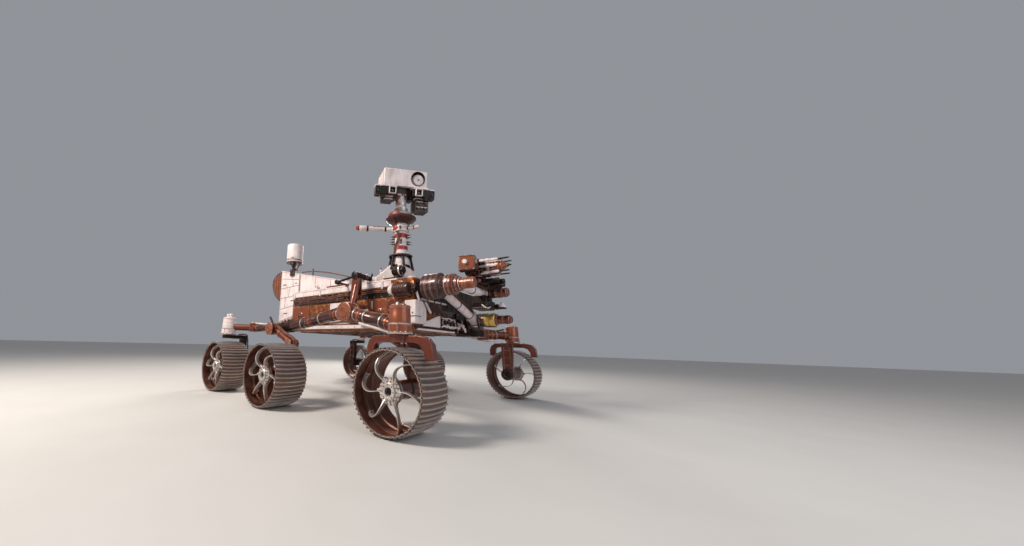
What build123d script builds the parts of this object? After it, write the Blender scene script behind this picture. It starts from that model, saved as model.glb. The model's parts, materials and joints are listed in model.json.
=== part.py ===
import os
from math import cos, pi, radians, sin

from build123d import *

# Six-wheeled planetary rover, millimetres, +X forward, +Y left, +Z up.
# The origin lies on the ground, midway between the two middle wheels.

# Clearances
SEAT_GAP = 0.3  # between a curved face and what it seats on
RUN_GAP = 0.05  # radial gap of a shaft that turns in its bearing
SIDE_GAP = 5.0  # between pieces that move past each other

# Wheels
WHEEL_TIP_R = 263.0  # to the tips of the cleats
CLEAT_HEIGHT = 10.0
RIM_SKIN = 8.0
WHEEL_WIDTH = 300.0
CLEAT_COUNT = 48
CLEAT_SHARE = 0.34  # of the pitch that a cleat takes at its root
SPOKE_COUNT = 6
SPOKE_THICK = 9.0
SPOKE_WIDTH = 34.0
SPOKE_SWEEP = 42.0  # degrees from a spoke's root to its foot
HUB_R = 74.0
HUB_THICK = 46.0
HUB_DEPTH = 45.0  # from the rim's outer face to the hub's outer face
AXLE_R = 24.0

# Wheel places
FRONT_X = 1220.0
REAR_X = -1110.0
CORNER_Y = 1120.0
MIDDLE_Y = 1220.0

# Steering
COLUMN_R = 68.0
COLUMN_HEIGHT = 190.0
STEER_SHAFT_R = 30.0
STEER_SHAFT_LENGTH = 60.0
KNUCKLE_LIFT = 34.0  # from the cleats' tips to the knuckle's arm
KNUCKLE_THICK = 36.0
KNUCKLE_WIDTH = 120.0
LEG_THICK = 34.0
LEG_GAP = 16.0  # between the wheel's inner face and the leg
DRIVE_R = 58.0

# Chassis
BODY_BACK = -650.0
BODY_FRONT = 990.0
BODY_HALF_WIDTH = 600.0
BELLY_Z = 660.0
DECK_Z = 1100.0
DECK_THICK = 12.0
BODY_CHAMFER = 40.0

# Lifting lugs
LUG_X = (-300.0, 430.0)
LUG_Y = BODY_HALF_WIDTH - 40
LUG_THICK = 20.0
LUG_HEIGHT = 62.0
LUG_R = 24.0
LUG_BORE_R = 10.0

# Rocker and bogie
LINK_Y = 850.0  # plane of the tubes
LINK_R = 44.0
KNEE_R = 56.0
BOGIE_LINK_R = 35.0
BOGIE_KNEE_R = 46.0
ROCKER_PIVOT = (487.0, 806.0)  # x, z
BOGIE_PIVOT = (-480.0, 668.0)
ROCKER_PIVOT_R = 82.0
BOGIE_PIVOT_R = 62.0
ROCKER_KNEE_X = 990.0
DIFF_Z = 1150.0
DIFF_Y = 730.0

# Mast and head
MAST_X = 780.0
MAST_Y = -490.0
MAST_R = 52.0
MAST_FOOT_Z = DECK_Z + DECK_THICK + 138
MAST_RING_Z = MAST_FOOT_Z + 80
MAST_TOP_Z = 1740.0
BELL_Z = 1640.0
BELL_HEIGHT = 55.0
BELL_R = 140.0
DISC_R = 90.0
BOOM_Z = 1587.0
LONG_BOOM = (-292.0, -292.0)  # from the mast's axis, x and y
BOOM_SLEEVE = 72.0
LONG_BOOM_R = 20.0
SHORT_BOOM = (183.0, 43.0)
NECK_HEIGHT = 44.0
NECK_R = 62.0
NECK_POST_R = 40.0
HEAD_PAN = -39.0  # the way the head faces, degrees from +X
HEAD_TILT = 8.0  # degrees nose down
TILT_Z = 1900.0
TILT_SHAFT_R = 24.0
HEAD_WIDTH = 400.0
BOX_LIFT = 68.0  # from the tilt axis to the box's floor
CHEEK_IN = 55.0
CHEEK_OUT = 97.0
CAMERA_BAR_HALF = 275.0
HEAD_HEIGHT = 150.0
HEAD_DEPTH = 270.0

# Arm, folded across the front
ARM_X = BODY_FRONT + 160  # azimuth axis and upper arm
ARM_Y = 250.0
SHOULDER_Z = 800.0
ELBOW = (-510.0, 1020.0)  # y, z
WRIST = (150.0, 1035.0)  # y, z
FOREARM_X = ARM_X + 150
ARM_SHELF_Z = 700.0
SHOULDER_REACH = 210.0  # shoulder barrel, forward of the upper arm
SHOULDER_TIP = 340.0
SHOULDER_PIN_R = 28.0
YOKE_IN = 40.0
YOKE_OUT = 62.0
ARM_TUBE_R = 38.0
SHOULDER_R = 65.0
ELBOW_R = 105.0
ELBOW_BACK = 100.0  # elbow barrel, behind the upper arm and ahead of it
ELBOW_AHEAD = 80.0
ELBOW_PIN_R = 26.0
WRIST_PIN_R = 22.0
ELBOW_TIP_R = 43.0
WRIST_R = 52.0
WRIST_TIP_R = 45.0
WRIST_ARM_THICK = 40.0
TURRET_Y = -60.0
TURRET_SEAT_Z = 1135.0
TURRET_Z = 1225.0
TURRET_TOP_Z = 1310.0
TURRET_R = 82.0
TURRET_SHAFT_R = 24.0
TURRET_BOX = (170.0, 220.0, 140.0)  # x, y, z
DRILL_R = 48.0
DRILL_REACH = FOREARM_X + 300

# Relay and rod antennas
CAN_X = -794.0
CAN_Y = 87 - BODY_HALF_WIDTH
CAN_Z = 1500.0
CAN_FOOT = 160.0
CAN_HEIGHT = 235.0
CAN_R = 100.0
ROD_X = -540.0
ROD_Y = -420.0
ROD_LENGTH = 308.0

# Steerable dish
DISH_X = -100.0
DISH_Y = 350.0
DISH_BASE_R = 40.0
DISH_BASE_HEIGHT = 40.0
DISH_TILT_Z = 1240.0
DISH_SHAFT_R = 8.0
DISH_LUG = 40.0
DISH_R = 140.0

# Generator and heat panels
GENERATOR_R = 130.0
GENERATOR_FINS = 8
GENERATOR_FIN = 70.0
GENERATOR_BACK = -1600.0
GENERATOR_FRONT = -1060.0
CRADLE_THICK = 40.0
GENERATOR_Z = 1150.0
PANEL_Y = BODY_HALF_WIDTH - 100
PANEL_THICK = 26.0
PANEL_REAR = (-1030.0, 780.0, 1440.0)  # x, low z, high z
PANEL_FRONT = (860.0, 1350.0)  # low z, high z
COVER_BACK = -640.0
COVER_FRONT = (180.0, 1170.0)  # x, high z

RIM_R = WHEEL_TIP_R - CLEAT_HEIGHT
RIM_INNER_R = RIM_R - RIM_SKIN
DECK_TOP = DECK_Z + DECK_THICK
KNUCKLE_Z = 2 * WHEEL_TIP_R + KNUCKLE_LIFT
COLUMN_Z = KNUCKLE_Z + KNUCKLE_THICK + SIDE_GAP
LINK_Z = COLUMN_Z + COLUMN_HEIGHT * 0.45

BASE = (Align.CENTER, Align.CENTER, Align.MIN)


def block(x0, x1, y0, y1, z0, z1):
    """A box between two corners."""
    centre = ((x0 + x1) / 2, (y0 + y1) / 2, (z0 + z1) / 2)
    return Pos(*centre) * Box(abs(x1 - x0), abs(y1 - y0), abs(z1 - z0))


def bar(start, end, radius, end_radius=None):
    """A round bar or a cone between two points."""
    start, end = Vector(*start), Vector(*end)
    place = Plane(origin=start, z_dir=end - start)
    length = (end - start).length
    if end_radius is None:
        return place * Cylinder(radius, length, align=BASE)
    return place * Cone(radius, end_radius, length, align=BASE)


def plate(points, plane, thick):
    """A flat outline in a plane, made thick along the plane's normal."""
    return extrude(plane * make_face(Polyline(*points, close=True)), amount=thick)


def keep(name, shape):
    """Writes one node's file."""
    export_step(shape, f"parts/{name}.step")


def other_side(shape):
    """The same piece on the left."""
    return mirror(shape, about=Plane.XZ)


def turned(radius, angle):
    """A point of the wheel's side view."""
    return (radius * cos(angle), radius * sin(angle))


def wheel_rim():
    """The tread: a skin with straight cleats across it, centred on the origin, axis along Y."""
    pitch = 2 * pi / CLEAT_COUNT
    half_root = pitch * CLEAT_SHARE / 2
    half_tip = half_root * 0.6
    outline = []
    for i in range(CLEAT_COUNT):
        middle = i * pitch - pi / 2
        outline.append(turned(RIM_R, middle - half_root))
        outline.append(turned(WHEEL_TIP_R, middle - half_tip))
        outline.append(turned(WHEEL_TIP_R, middle + half_tip))
        outline.append(turned(RIM_R, middle + half_root))
    face = make_face(Polyline(*outline, close=True)) - RegularPolygon(RIM_INNER_R, CLEAT_COUNT)
    return extrude(Plane.XZ * face, amount=WHEEL_WIDTH / 2, both=True)


def spoke(angle):
    """One curved spring from the hub to the rim, in the wheel's side view."""
    root = radians(angle)
    foot = radians(angle + SPOKE_SWEEP)
    middle = radians(angle + SPOKE_SWEEP * 0.12)
    inner_r, middle_r, outer_r = HUB_R - 6, (HUB_R + RIM_INNER_R) / 2, RIM_INNER_R * cos(pi / CLEAT_COUNT) - SEAT_GAP
    half = SPOKE_THICK / 2

    def shifted(radius, angle, side):
        step = side * half / radius
        return turned(radius, angle + step)

    sides = []
    for side in (-1, 1):
        ends = (shifted(inner_r, root, side), shifted(middle_r, middle, side), shifted(outer_r, foot, side))
        sides.append(ends)
    edges = [
        ThreePointArc(*sides[0]),
        Line(sides[0][2], sides[1][2]),
        ThreePointArc(*sides[1]),
        Line(sides[1][0], sides[0][0]),
    ]
    return make_face(edges)


def wheel_hub():
    """Hub and its spokes, outer side towards -Y, with a bore for the axle from the inner side."""
    hub = Circle(HUB_R)
    face = hub
    for i in range(SPOKE_COUNT):
        face += spoke(i * 360 / SPOKE_COUNT)
    outer = -WHEEL_WIDTH / 2 + HUB_DEPTH
    spokes = extrude(Plane.XZ.offset(-outer - SPOKE_WIDTH) * face, amount=SPOKE_WIDTH)
    body = bar((0, outer, 0), (0, outer + HUB_THICK, 0), HUB_R * 0.8)
    cap = bar((0, outer - 14, 0), (0, outer, 0), HUB_R * 0.5)
    bore = bar((0, outer + 14, 0), (0, outer + HUB_THICK, 0), AXLE_R + RUN_GAP)
    return spokes + body + cap - bore


HUB_BACK = -WHEEL_WIDTH / 2 + HUB_DEPTH + HUB_THICK  # the hub's inner face, from the wheel's middle
HUB_BORE_END = -WHEEL_WIDTH / 2 + HUB_DEPTH + 14


def drive_motor(x, y, leg_y):
    """Drive housing and axle of the right-hand wheel at x, y, from its leg out into the hub."""
    housing_end = y + HUB_BACK + SIDE_GAP
    motor = bar((x, leg_y, WHEEL_TIP_R), (x, housing_end, WHEEL_TIP_R), DRIVE_R)
    axle = bar((x, leg_y, WHEEL_TIP_R), (x, y + HUB_BORE_END + 1, WHEEL_TIP_R), AXLE_R)
    return motor + axle


def knuckle(x):
    """Steered arm of a right-hand corner wheel: shaft, arm over the wheel, leg and drive."""
    leg_y = -CORNER_Y + WHEEL_WIDTH / 2 + LEG_GAP
    half = KNUCKLE_WIDTH / 2
    top = KNUCKLE_Z + KNUCKLE_THICK
    shaft = bar((x, -CORNER_Y, KNUCKLE_Z), (x, -CORNER_Y, top + SIDE_GAP + STEER_SHAFT_LENGTH), STEER_SHAFT_R)
    arm = block(x - half, x + half, -CORNER_Y, leg_y + LEG_THICK, KNUCKLE_Z, top)
    cap = bar((x, -CORNER_Y, KNUCKLE_Z), (x, -CORNER_Y, top), half)
    side = [(x - half, top), (x + half, top), (x + DRIVE_R * 0.9, WHEEL_TIP_R), (x - DRIVE_R * 0.9, WHEEL_TIP_R)]
    leg = plate(side, Plane.XZ.offset(-leg_y - LEG_THICK), LEG_THICK)
    boss = bar((x, leg_y, WHEEL_TIP_R), (x, leg_y + LEG_THICK + 18, WHEEL_TIP_R), DRIVE_R)
    return shaft + arm + cap + leg + boss + drive_motor(x, -CORNER_Y, leg_y)


def steer_column(x):
    """Steering housing above a right-hand corner wheel, bored for the knuckle's shaft."""
    foot = bar((x, -CORNER_Y, COLUMN_Z), (x, -CORNER_Y, COLUMN_Z + COLUMN_HEIGHT * 0.7), COLUMN_R)
    neck = bar(
        (x, -CORNER_Y, COLUMN_Z + COLUMN_HEIGHT * 0.7),
        (x, -CORNER_Y, COLUMN_Z + COLUMN_HEIGHT),
        COLUMN_R,
        COLUMN_R * 0.5,
    )
    bore = bar((x, -CORNER_Y, COLUMN_Z), (x, -CORNER_Y, COLUMN_Z + STEER_SHAFT_LENGTH + 1), STEER_SHAFT_R + RUN_GAP)
    return foot + neck - bore


def rocker():
    """Right-hand rocker: pivot hub, front and rear tubes, knee and steering column."""
    px, pz = ROCKER_PIVOT
    bx, bz = BOGIE_PIVOT
    y = -LINK_Y
    hub = bar((px, -BODY_HALF_WIDTH - SEAT_GAP, pz), (px, y - LINK_R, pz), ROCKER_PIVOT_R)
    front = bar((px, y, pz), (ROCKER_KNEE_X, y, LINK_Z), LINK_R)
    knee = bar((ROCKER_KNEE_X, y, LINK_Z - KNEE_R), (ROCKER_KNEE_X, y, LINK_Z + KNEE_R), KNEE_R)
    out = bar((ROCKER_KNEE_X, y, LINK_Z), (FRONT_X, -CORNER_Y, LINK_Z), LINK_R)
    rear = bar((px, y, pz), (bx, y, bz), LINK_R)
    end = bar((bx, y + LINK_R, bz), (bx, y - LINK_R, bz), BOGIE_PIVOT_R)
    lever = bar((px, y + 40, pz), (px, -DIFF_Y, DIFF_Z - 30), 30)
    whole = hub + front + knee + out + rear + end + lever
    bore = bar((FRONT_X, -CORNER_Y, COLUMN_Z - 1), (FRONT_X, -CORNER_Y, COLUMN_Z + COLUMN_HEIGHT), COLUMN_R - 1)
    return (whole - bore) + steer_column(FRONT_X)


def bogie():
    """Right-hand bogie: pivot boss outside the rocker, rear tube, front leg and middle drive."""
    bx, bz = BOGIE_PIVOT
    y = -LINK_Y - LINK_R - SEAT_GAP
    boss = bar((bx, y, bz), (bx, y - 70, bz), BOGIE_PIVOT_R)
    tube_y = y - 35
    rear = bar((bx, tube_y, bz), (REAR_X + 200, tube_y, LINK_Z), BOGIE_LINK_R)
    rear_out = bar((REAR_X + 200, tube_y, LINK_Z), (REAR_X, -CORNER_Y, LINK_Z), BOGIE_LINK_R)
    bend_x = REAR_X + 200
    elbow = bar((bend_x, tube_y, LINK_Z - BOGIE_KNEE_R), (bend_x, tube_y, LINK_Z + BOGIE_KNEE_R), BOGIE_KNEE_R)
    column_bore = bar((REAR_X, -CORNER_Y, COLUMN_Z - 1), (REAR_X, -CORNER_Y, DECK_Z), COLUMN_R - 1)
    leg_y = -MIDDLE_Y + WHEEL_WIDTH / 2 + LEG_GAP
    knee = (-170, tube_y, 520)
    leg = bar((bx, tube_y, bz), knee, BOGIE_LINK_R)
    kx, ky, kz = knee
    bend = bar((kx, ky - BOGIE_KNEE_R, kz), (kx, ky + BOGIE_KNEE_R, kz), BOGIE_KNEE_R)
    foot_y = leg_y + LEG_THICK / 2
    foot = bar(knee, (0, foot_y, WHEEL_TIP_R), BOGIE_LINK_R, LINK_R * 0.5)
    hub = bar((0, leg_y, WHEEL_TIP_R), (0, leg_y + LEG_THICK + 18, WHEEL_TIP_R), DRIVE_R)
    whole = boss + rear + rear_out + elbow + leg + bend + foot + hub
    return (whole - column_bore) + steer_column(REAR_X) + drive_motor(0, -MIDDLE_Y, leg_y)


def chassis():
    """Closed warm box that carries everything."""
    box = block(BODY_BACK, BODY_FRONT, -BODY_HALF_WIDTH, BODY_HALF_WIDTH, BELLY_Z, DECK_Z)
    return chamfer(box.edges().filter_by(Axis.X).group_by(Axis.Z)[0], BODY_CHAMFER)


def deck():
    """Top deck with four lifting lugs."""
    top = block(BODY_BACK, BODY_FRONT, -BODY_HALF_WIDTH, BODY_HALF_WIDTH, DECK_Z, DECK_TOP)
    top = chamfer(top.edges().filter_by(Axis.Z), BODY_CHAMFER / 2)
    eye_z = DECK_TOP + LUG_HEIGHT - LUG_R
    for x in LUG_X:
        for y in (-LUG_Y, LUG_Y):
            lug = block(x - LUG_R, x + LUG_R, y - LUG_THICK / 2, y + LUG_THICK / 2, DECK_TOP - 1, eye_z)
            eye = bar((x, y - LUG_THICK / 2, eye_z), (x, y + LUG_THICK / 2, eye_z), LUG_R)
            hole = bar((x, y - LUG_THICK, eye_z), (x, y + LUG_THICK, eye_z), LUG_BORE_R)
            top += lug + eye - hole
    return top


def differential():
    """Cross bar on the deck that ties both rockers."""
    px = ROCKER_PIVOT[0]
    post = bar((px, 0, DECK_TOP), (px, 0, DIFF_Z), 45)
    beam = bar((px, -DIFF_Y, DIFF_Z), (px, DIFF_Y, DIFF_Z), 24)
    return post + beam


def generator():
    """Finned power source, tilted out behind the chassis."""
    core = bar((GENERATOR_BACK + 40, 0, GENERATOR_Z), (GENERATOR_FRONT, 0, GENERATOR_Z), GENERATOR_R)
    cap = bar((GENERATOR_BACK + 40, 0, GENERATOR_Z), (GENERATOR_BACK, 0, GENERATOR_Z), GENERATOR_R, GENERATOR_R * 0.6)
    fin = block(GENERATOR_BACK + 60, GENERATOR_FRONT - 20, -5, 5, 0, GENERATOR_R + GENERATOR_FIN)
    whole = core + cap
    for i in range(GENERATOR_FINS):
        whole += Pos(0, 0, GENERATOR_Z) * Rot((i + 0.5) * 360 / GENERATOR_FINS, 0, 0) * fin
    return whole


def heat_panel():
    """Right-hand upright heat panel beside the generator."""
    rear_x, rear_low, rear_high = PANEL_REAR
    front_low, front_high = PANEL_FRONT
    side = [(rear_x, rear_low), (BODY_BACK, front_low), (BODY_BACK, front_high), (rear_x, rear_high)]
    return plate(side, Plane.XZ.offset(PANEL_Y), PANEL_THICK)


def generator_cradle():
    """Brackets that carry the generator on the chassis's rear wall."""
    wall = block(BODY_BACK - CRADLE_THICK, BODY_BACK, -2 * GENERATOR_R, 2 * GENERATOR_R, DECK_Z - 280, DECK_Z)
    beam_z = GENERATOR_Z - 105
    beams = block(GENERATOR_FRONT, BODY_BACK - CRADLE_THICK, -70, 70, beam_z - 45, beam_z + 45)
    ring_end = GENERATOR_FRONT + CRADLE_THICK
    ring = bar((GENERATOR_FRONT, 0, GENERATOR_Z), (ring_end, 0, GENERATOR_Z), GENERATOR_R)
    return wall + beams + ring


def gusset():
    """Right-hand sloping side cover between heat panel and deck."""
    front_x, front_high = COVER_FRONT
    rear_high = PANEL_FRONT[1]
    side = [(COVER_BACK, DECK_TOP), (front_x, DECK_TOP), (front_x, front_high), (COVER_BACK, rear_high)]
    return plate(side, Plane.XZ.offset(PANEL_Y), PANEL_THICK)


def relay_antenna():
    """Can-shaped antenna on a short tripod over the heat panel."""
    x, y, z = CAN_X, CAN_Y, CAN_Z
    can = bar((x, y, z), (x, y, z + CAN_HEIGHT), CAN_R)
    stem = bar((x, y, z - 95), (x, y, z), 22)
    outside = -PANEL_Y - PANEL_THICK
    foot = block(x - 40, x + 40, outside - 20, outside, z - CAN_FOOT, z - 76)
    shelf = block(x - 40, x + 40, outside - 20, -PANEL_Y + 20, z - 88, z - 76)
    return can + stem + foot + shelf


def rod_antenna():
    """Thin rod antenna on the rear deck."""
    foot = bar((ROD_X, ROD_Y, DECK_TOP), (ROD_X, ROD_Y, DECK_TOP + 28), 22)
    return foot + bar((ROD_X, ROD_Y, DECK_TOP), (ROD_X, ROD_Y, DECK_TOP + ROD_LENGTH), 8)


def dish_parts():
    """Steerable antenna on the left of the deck: base, yoke and six-sided dish."""
    x, y = DISH_X, DISH_Y
    seat = DECK_TOP + DISH_BASE_HEIGHT
    base = bar((x, y, DECK_TOP), (x, y, seat), DISH_BASE_R)
    yoke = bar((x, y, seat + SEAT_GAP), (x, y, seat + 22), DISH_BASE_R - 2)
    half = DISH_LUG / 2
    cheek_in, cheek_out = half + 6, half + 18
    for side in (-1, 1):
        ends = sorted((y + side * cheek_in, y + side * cheek_out))
        yoke += block(x - 14, x + 14, *ends, seat + 10, DISH_TILT_Z + 14)
    yoke -= bar((x, y - 60, DISH_TILT_Z), (x, y + 60, DISH_TILT_Z), DISH_SHAFT_R + RUN_GAP)
    back = DISH_TILT_Z + DISH_BASE_R + 4
    dish = block(x - 14, x + 14, y - half, y + half, DISH_TILT_Z - 14, back)
    dish += bar((x, y - cheek_out - 3, DISH_TILT_Z), (x, y + cheek_out + 3, DISH_TILT_Z), DISH_SHAFT_R)
    dish += Pos(x, y, back) * extrude(RegularPolygon(DISH_R, 6), amount=18)
    return base, yoke, dish


def mast_base():
    """Sloping drive housing on the deck's right front corner."""
    x, y = MAST_X, MAST_Y
    side = [
        (x - 230, DECK_TOP),
        (x + 110, DECK_TOP),
        (x + 110, MAST_FOOT_Z - 50),
        (x + 60, MAST_FOOT_Z),
        (x - 60, MAST_FOOT_Z),
        (x - 230, DECK_TOP + 38),
    ]
    return plate(side, Plane.XZ.offset(-y - 90), 180)


def mast():
    """Fixed mast with its ring flange and collars."""
    x, y = MAST_X, MAST_Y
    post = bar((x, y, MAST_FOOT_Z), (x, y, MAST_TOP_Z), MAST_R)
    cone = bar((x, y, MAST_FOOT_Z), (x, y, MAST_RING_Z), 78, MAST_R + 10)
    ring = bar((x, y, MAST_RING_Z - 6), (x, y, MAST_RING_Z + 8), 105)
    bell = bar((x, y, BELL_Z), (x, y, BELL_Z + BELL_HEIGHT), BELL_R * 0.6, BELL_R)
    disc = bar((x, y, BELL_Z + BELL_HEIGHT), (x, y, MAST_TOP_Z), DISC_R)
    return post + cone + ring + bell + disc


def booms():
    """Two wind booms clamped round the mast."""
    x, y, z = MAST_X, MAST_Y, BOOM_Z
    clamp = bar((x, y, z - 25), (x, y, z + 25), MAST_R + 18)
    end = (x + LONG_BOOM[0], y + LONG_BOOM[1], z)
    sleeve = (end[0] + BOOM_SLEEVE, end[1] + BOOM_SLEEVE, z)
    long = bar((x, y, z), end, LONG_BOOM_R) + bar(sleeve, end, LONG_BOOM_R + 6)
    short = bar((x, y, z), (x + SHORT_BOOM[0], y + SHORT_BOOM[1], z + 10), 16)
    hole = bar((x, y, z - 26), (x, y, z + 26), MAST_R + SEAT_GAP)
    return clamp + long + short - hole


def head_place():
    """Frame of the head: x ahead, y to its left, at the tilt axis."""
    return Pos(MAST_X, MAST_Y, TILT_Z) * Rot(0, 0, HEAD_PAN)


def head_neck():
    """Panning neck with the tilt shaft through its top."""
    place = Pos(MAST_X, MAST_Y, 0) * Rot(0, 0, HEAD_PAN)
    neck_top = MAST_TOP_Z + NECK_HEIGHT
    turn = bar((0, 0, MAST_TOP_Z + SEAT_GAP), (0, 0, neck_top), NECK_R)
    post = bar((0, 0, neck_top), (0, 0, TILT_Z + 8), NECK_POST_R)
    cross = bar((0, -CHEEK_OUT, TILT_Z), (0, CHEEK_OUT, TILT_Z), TILT_SHAFT_R)
    return place * (turn + post + cross)


def head_box():
    """Instrument box and camera bar, tilted about the neck's cross shaft."""
    place = head_place() * Rot(0, HEAD_TILT, 0)
    half = HEAD_WIDTH / 2
    box = block(-HEAD_DEPTH / 2, HEAD_DEPTH / 2, -half, half, BOX_LIFT, BOX_LIFT + HEAD_HEIGHT)
    return place * fillet(box.edges().filter_by(Axis.Z), 14)


def camera_bar():
    """Camera bar under the box, split round the neck, with end cameras, cheeks and hanging blocks."""
    place = head_place() * Rot(0, HEAD_TILT, 0)
    whole = None
    for side in (-1, 1):
        near, far = sorted((side * (NECK_R + 6), side * CAMERA_BAR_HALF))
        cheek = sorted((side * CHEEK_IN, side * CHEEK_OUT))
        half = block(60, 150, near, far, -20, BOX_LIFT) + block(-40, 62, *cheek, -36, BOX_LIFT)
        whole = half if whole is None else whole + half
    whole += block(-50, 100, CHEEK_OUT + 9, 240, -140, -10)
    whole += block(-20, 100, -200, -CHEEK_OUT, -70, -10)
    hole = bar((0, -CHEEK_OUT - 1, 0), (0, CHEEK_OUT + 1, 0), TILT_SHAFT_R + RUN_GAP)
    return place * (whole - hole)


def arm_mount():
    """Casting on the chassis front that carries the arm's turntable."""
    x, y, top = ARM_X, ARM_Y, ARM_SHELF_Z
    pad = block(BODY_FRONT, BODY_FRONT + 24, y - 120, y + 120, BELLY_Z, top + 160)
    shelf = block(BODY_FRONT, x, y - 80, y + 80, top - 60, top)
    nose = bar((x, y, top - 60), (x, y, top), 80)
    return pad + shelf + nose


def arm_shoulder():
    """Turntable, yoke and shoulder actuator."""
    x, y, z = ARM_X, ARM_Y, SHOULDER_Z
    table = bar((x, y, ARM_SHELF_Z + SEAT_GAP), (x, y, ARM_SHELF_Z + 22), 58)
    back = block(x - YOKE_OUT, x - YOKE_IN, y - 50, y + 50, ARM_SHELF_Z + 10, z + 40)
    front = block(x + YOKE_IN, x + YOKE_OUT, y - 50, y + 50, ARM_SHELF_Z + 10, z + 40)
    barrel = bar((x + YOKE_IN, y, z), (x + SHOULDER_REACH, y, z), SHOULDER_R)
    tip = bar((x + SHOULDER_REACH, y, z), (x + SHOULDER_TIP, y, z), 40)
    pin = bar((x - YOKE_OUT, y, z), (x + YOKE_OUT, y, z), SHOULDER_PIN_R)
    return table + back + front + barrel + tip + pin


def upper_arm():
    """Tube from the shoulder to the elbow with its collars."""
    x, half = ARM_X, YOKE_IN - SIDE_GAP
    ey, ez = ELBOW
    root = bar((x - half, ARM_Y, SHOULDER_Z), (x + half, ARM_Y, SHOULDER_Z), 56)
    tube = bar((x, ARM_Y, SHOULDER_Z), (x, ey, ez), ARM_TUBE_R)
    hole = bar((x - 60, ARM_Y, SHOULDER_Z), (x + 60, ARM_Y, SHOULDER_Z), SHOULDER_PIN_R + RUN_GAP)
    elbow = bar((x - ELBOW_BACK, ey, ez), (x + ELBOW_AHEAD, ey, ez), ELBOW_R)
    pin = bar((x + ELBOW_AHEAD, ey, ez), (x + ELBOW_AHEAD + 120, ey, ez), ELBOW_PIN_R)
    return root + tube + elbow + pin - hole


def forearm():
    """Tube from the elbow back to the wrist."""
    x = FOREARM_X
    ey, ez = ELBOW
    wy, wz = WRIST
    start = ARM_X + ELBOW_AHEAD
    root = bar((start + SIDE_GAP, ey, ez), (x + 60, ey, ez), 62)
    tip = bar((x + 60, ey, ez), (x + 170, ey, ez), ELBOW_TIP_R)
    tube = bar((x, ey, ez), (x, wy, wz), ARM_TUBE_R)
    end = bar((x - 55, wy, wz), (x + 55, wy, wz), WRIST_R)
    pin = bar((x + 55, wy, wz), (x + 110, wy, wz), WRIST_PIN_R)
    hole = bar((start - 1, ey, ez), (start + 121, ey, ez), ELBOW_PIN_R + RUN_GAP)
    return root + tip + tube + end + pin - hole


def wrist():
    """Crank from the wrist axis to the turret's turning housing."""
    wy, wz = WRIST
    x0, x1 = FOREARM_X + 60, FOREARM_X + 110
    low = TURRET_SEAT_Z - WRIST_ARM_THICK
    tip = bar((x0, wy, wz), (x0 + 140, wy, wz), WRIST_TIP_R)
    side = [(wy - 40, wz), (wy + 40, wz), (wy + 40, TURRET_SEAT_Z), (wy - 60, TURRET_SEAT_Z)]
    crank = plate(side, Plane.YZ.offset(x0), x1 - x0)
    arm = block(FOREARM_X - 45, x1, TURRET_Y, wy + 40, low, TURRET_SEAT_Z)
    housing = bar((FOREARM_X, TURRET_Y, low), (FOREARM_X, TURRET_Y, TURRET_SEAT_Z), TURRET_R - 12)
    shaft = bar((FOREARM_X, TURRET_Y, low), (FOREARM_X, TURRET_Y, TURRET_SEAT_Z + 40), TURRET_SHAFT_R)
    hole = bar((x0 - 1, wy, wz), (x1 + 1, wy, wz), WRIST_PIN_R + RUN_GAP)
    return tip + crank + arm + housing + shaft - hole


def turret():
    """Tool turret: core and drill."""
    x, y, z = FOREARM_X, TURRET_Y, TURRET_Z
    core = bar((x, y, TURRET_SEAT_Z + SIDE_GAP), (x, y, TURRET_TOP_Z), TURRET_R)
    hole = bar((x, y, TURRET_SEAT_Z), (x, y, TURRET_SEAT_Z + 41), TURRET_SHAFT_R + RUN_GAP)
    nose = DRILL_REACH - 80
    drill = bar((x, y, z), (nose, y, z), DRILL_R) + bar((nose, y, z), (DRILL_REACH, y, z), 16)
    for side in (-1, 1):
        drill += bar((x, y + side * 40, z + 26), (DRILL_REACH - 10, y + side * 40, z + 26), 8)
    bracket = block(x - 60, x + 60, y - TURRET_R - 45, y, z - 40, z + 40)
    return core + drill + bracket - hole


def turret_box():
    """Camera and spectrometer box on the turret's right side."""
    y0 = TURRET_Y - TURRET_R - 45
    long, wide, tall = TURRET_BOX
    middle = TURRET_SEAT_Z + 100
    return block(FOREARM_X - long / 2, FOREARM_X + long / 2, y0 - wide, y0, middle - tall / 2, middle + tall / 2)


def front_cameras():
    """Hazard cameras and tool carousel under the front edge."""
    return block(BODY_FRONT, BODY_FRONT + 45, -160, 60, 700, 800)


def corner_box():
    """Box and ribbed barrel on the chassis's right front corner."""
    back, ahead = BODY_FRONT - 170, BODY_FRONT - 5
    box = block(back, ahead, -BODY_HALF_WIDTH - 90, -BODY_HALF_WIDTH, DECK_Z - 160, DECK_Z - 40)
    return box


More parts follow.
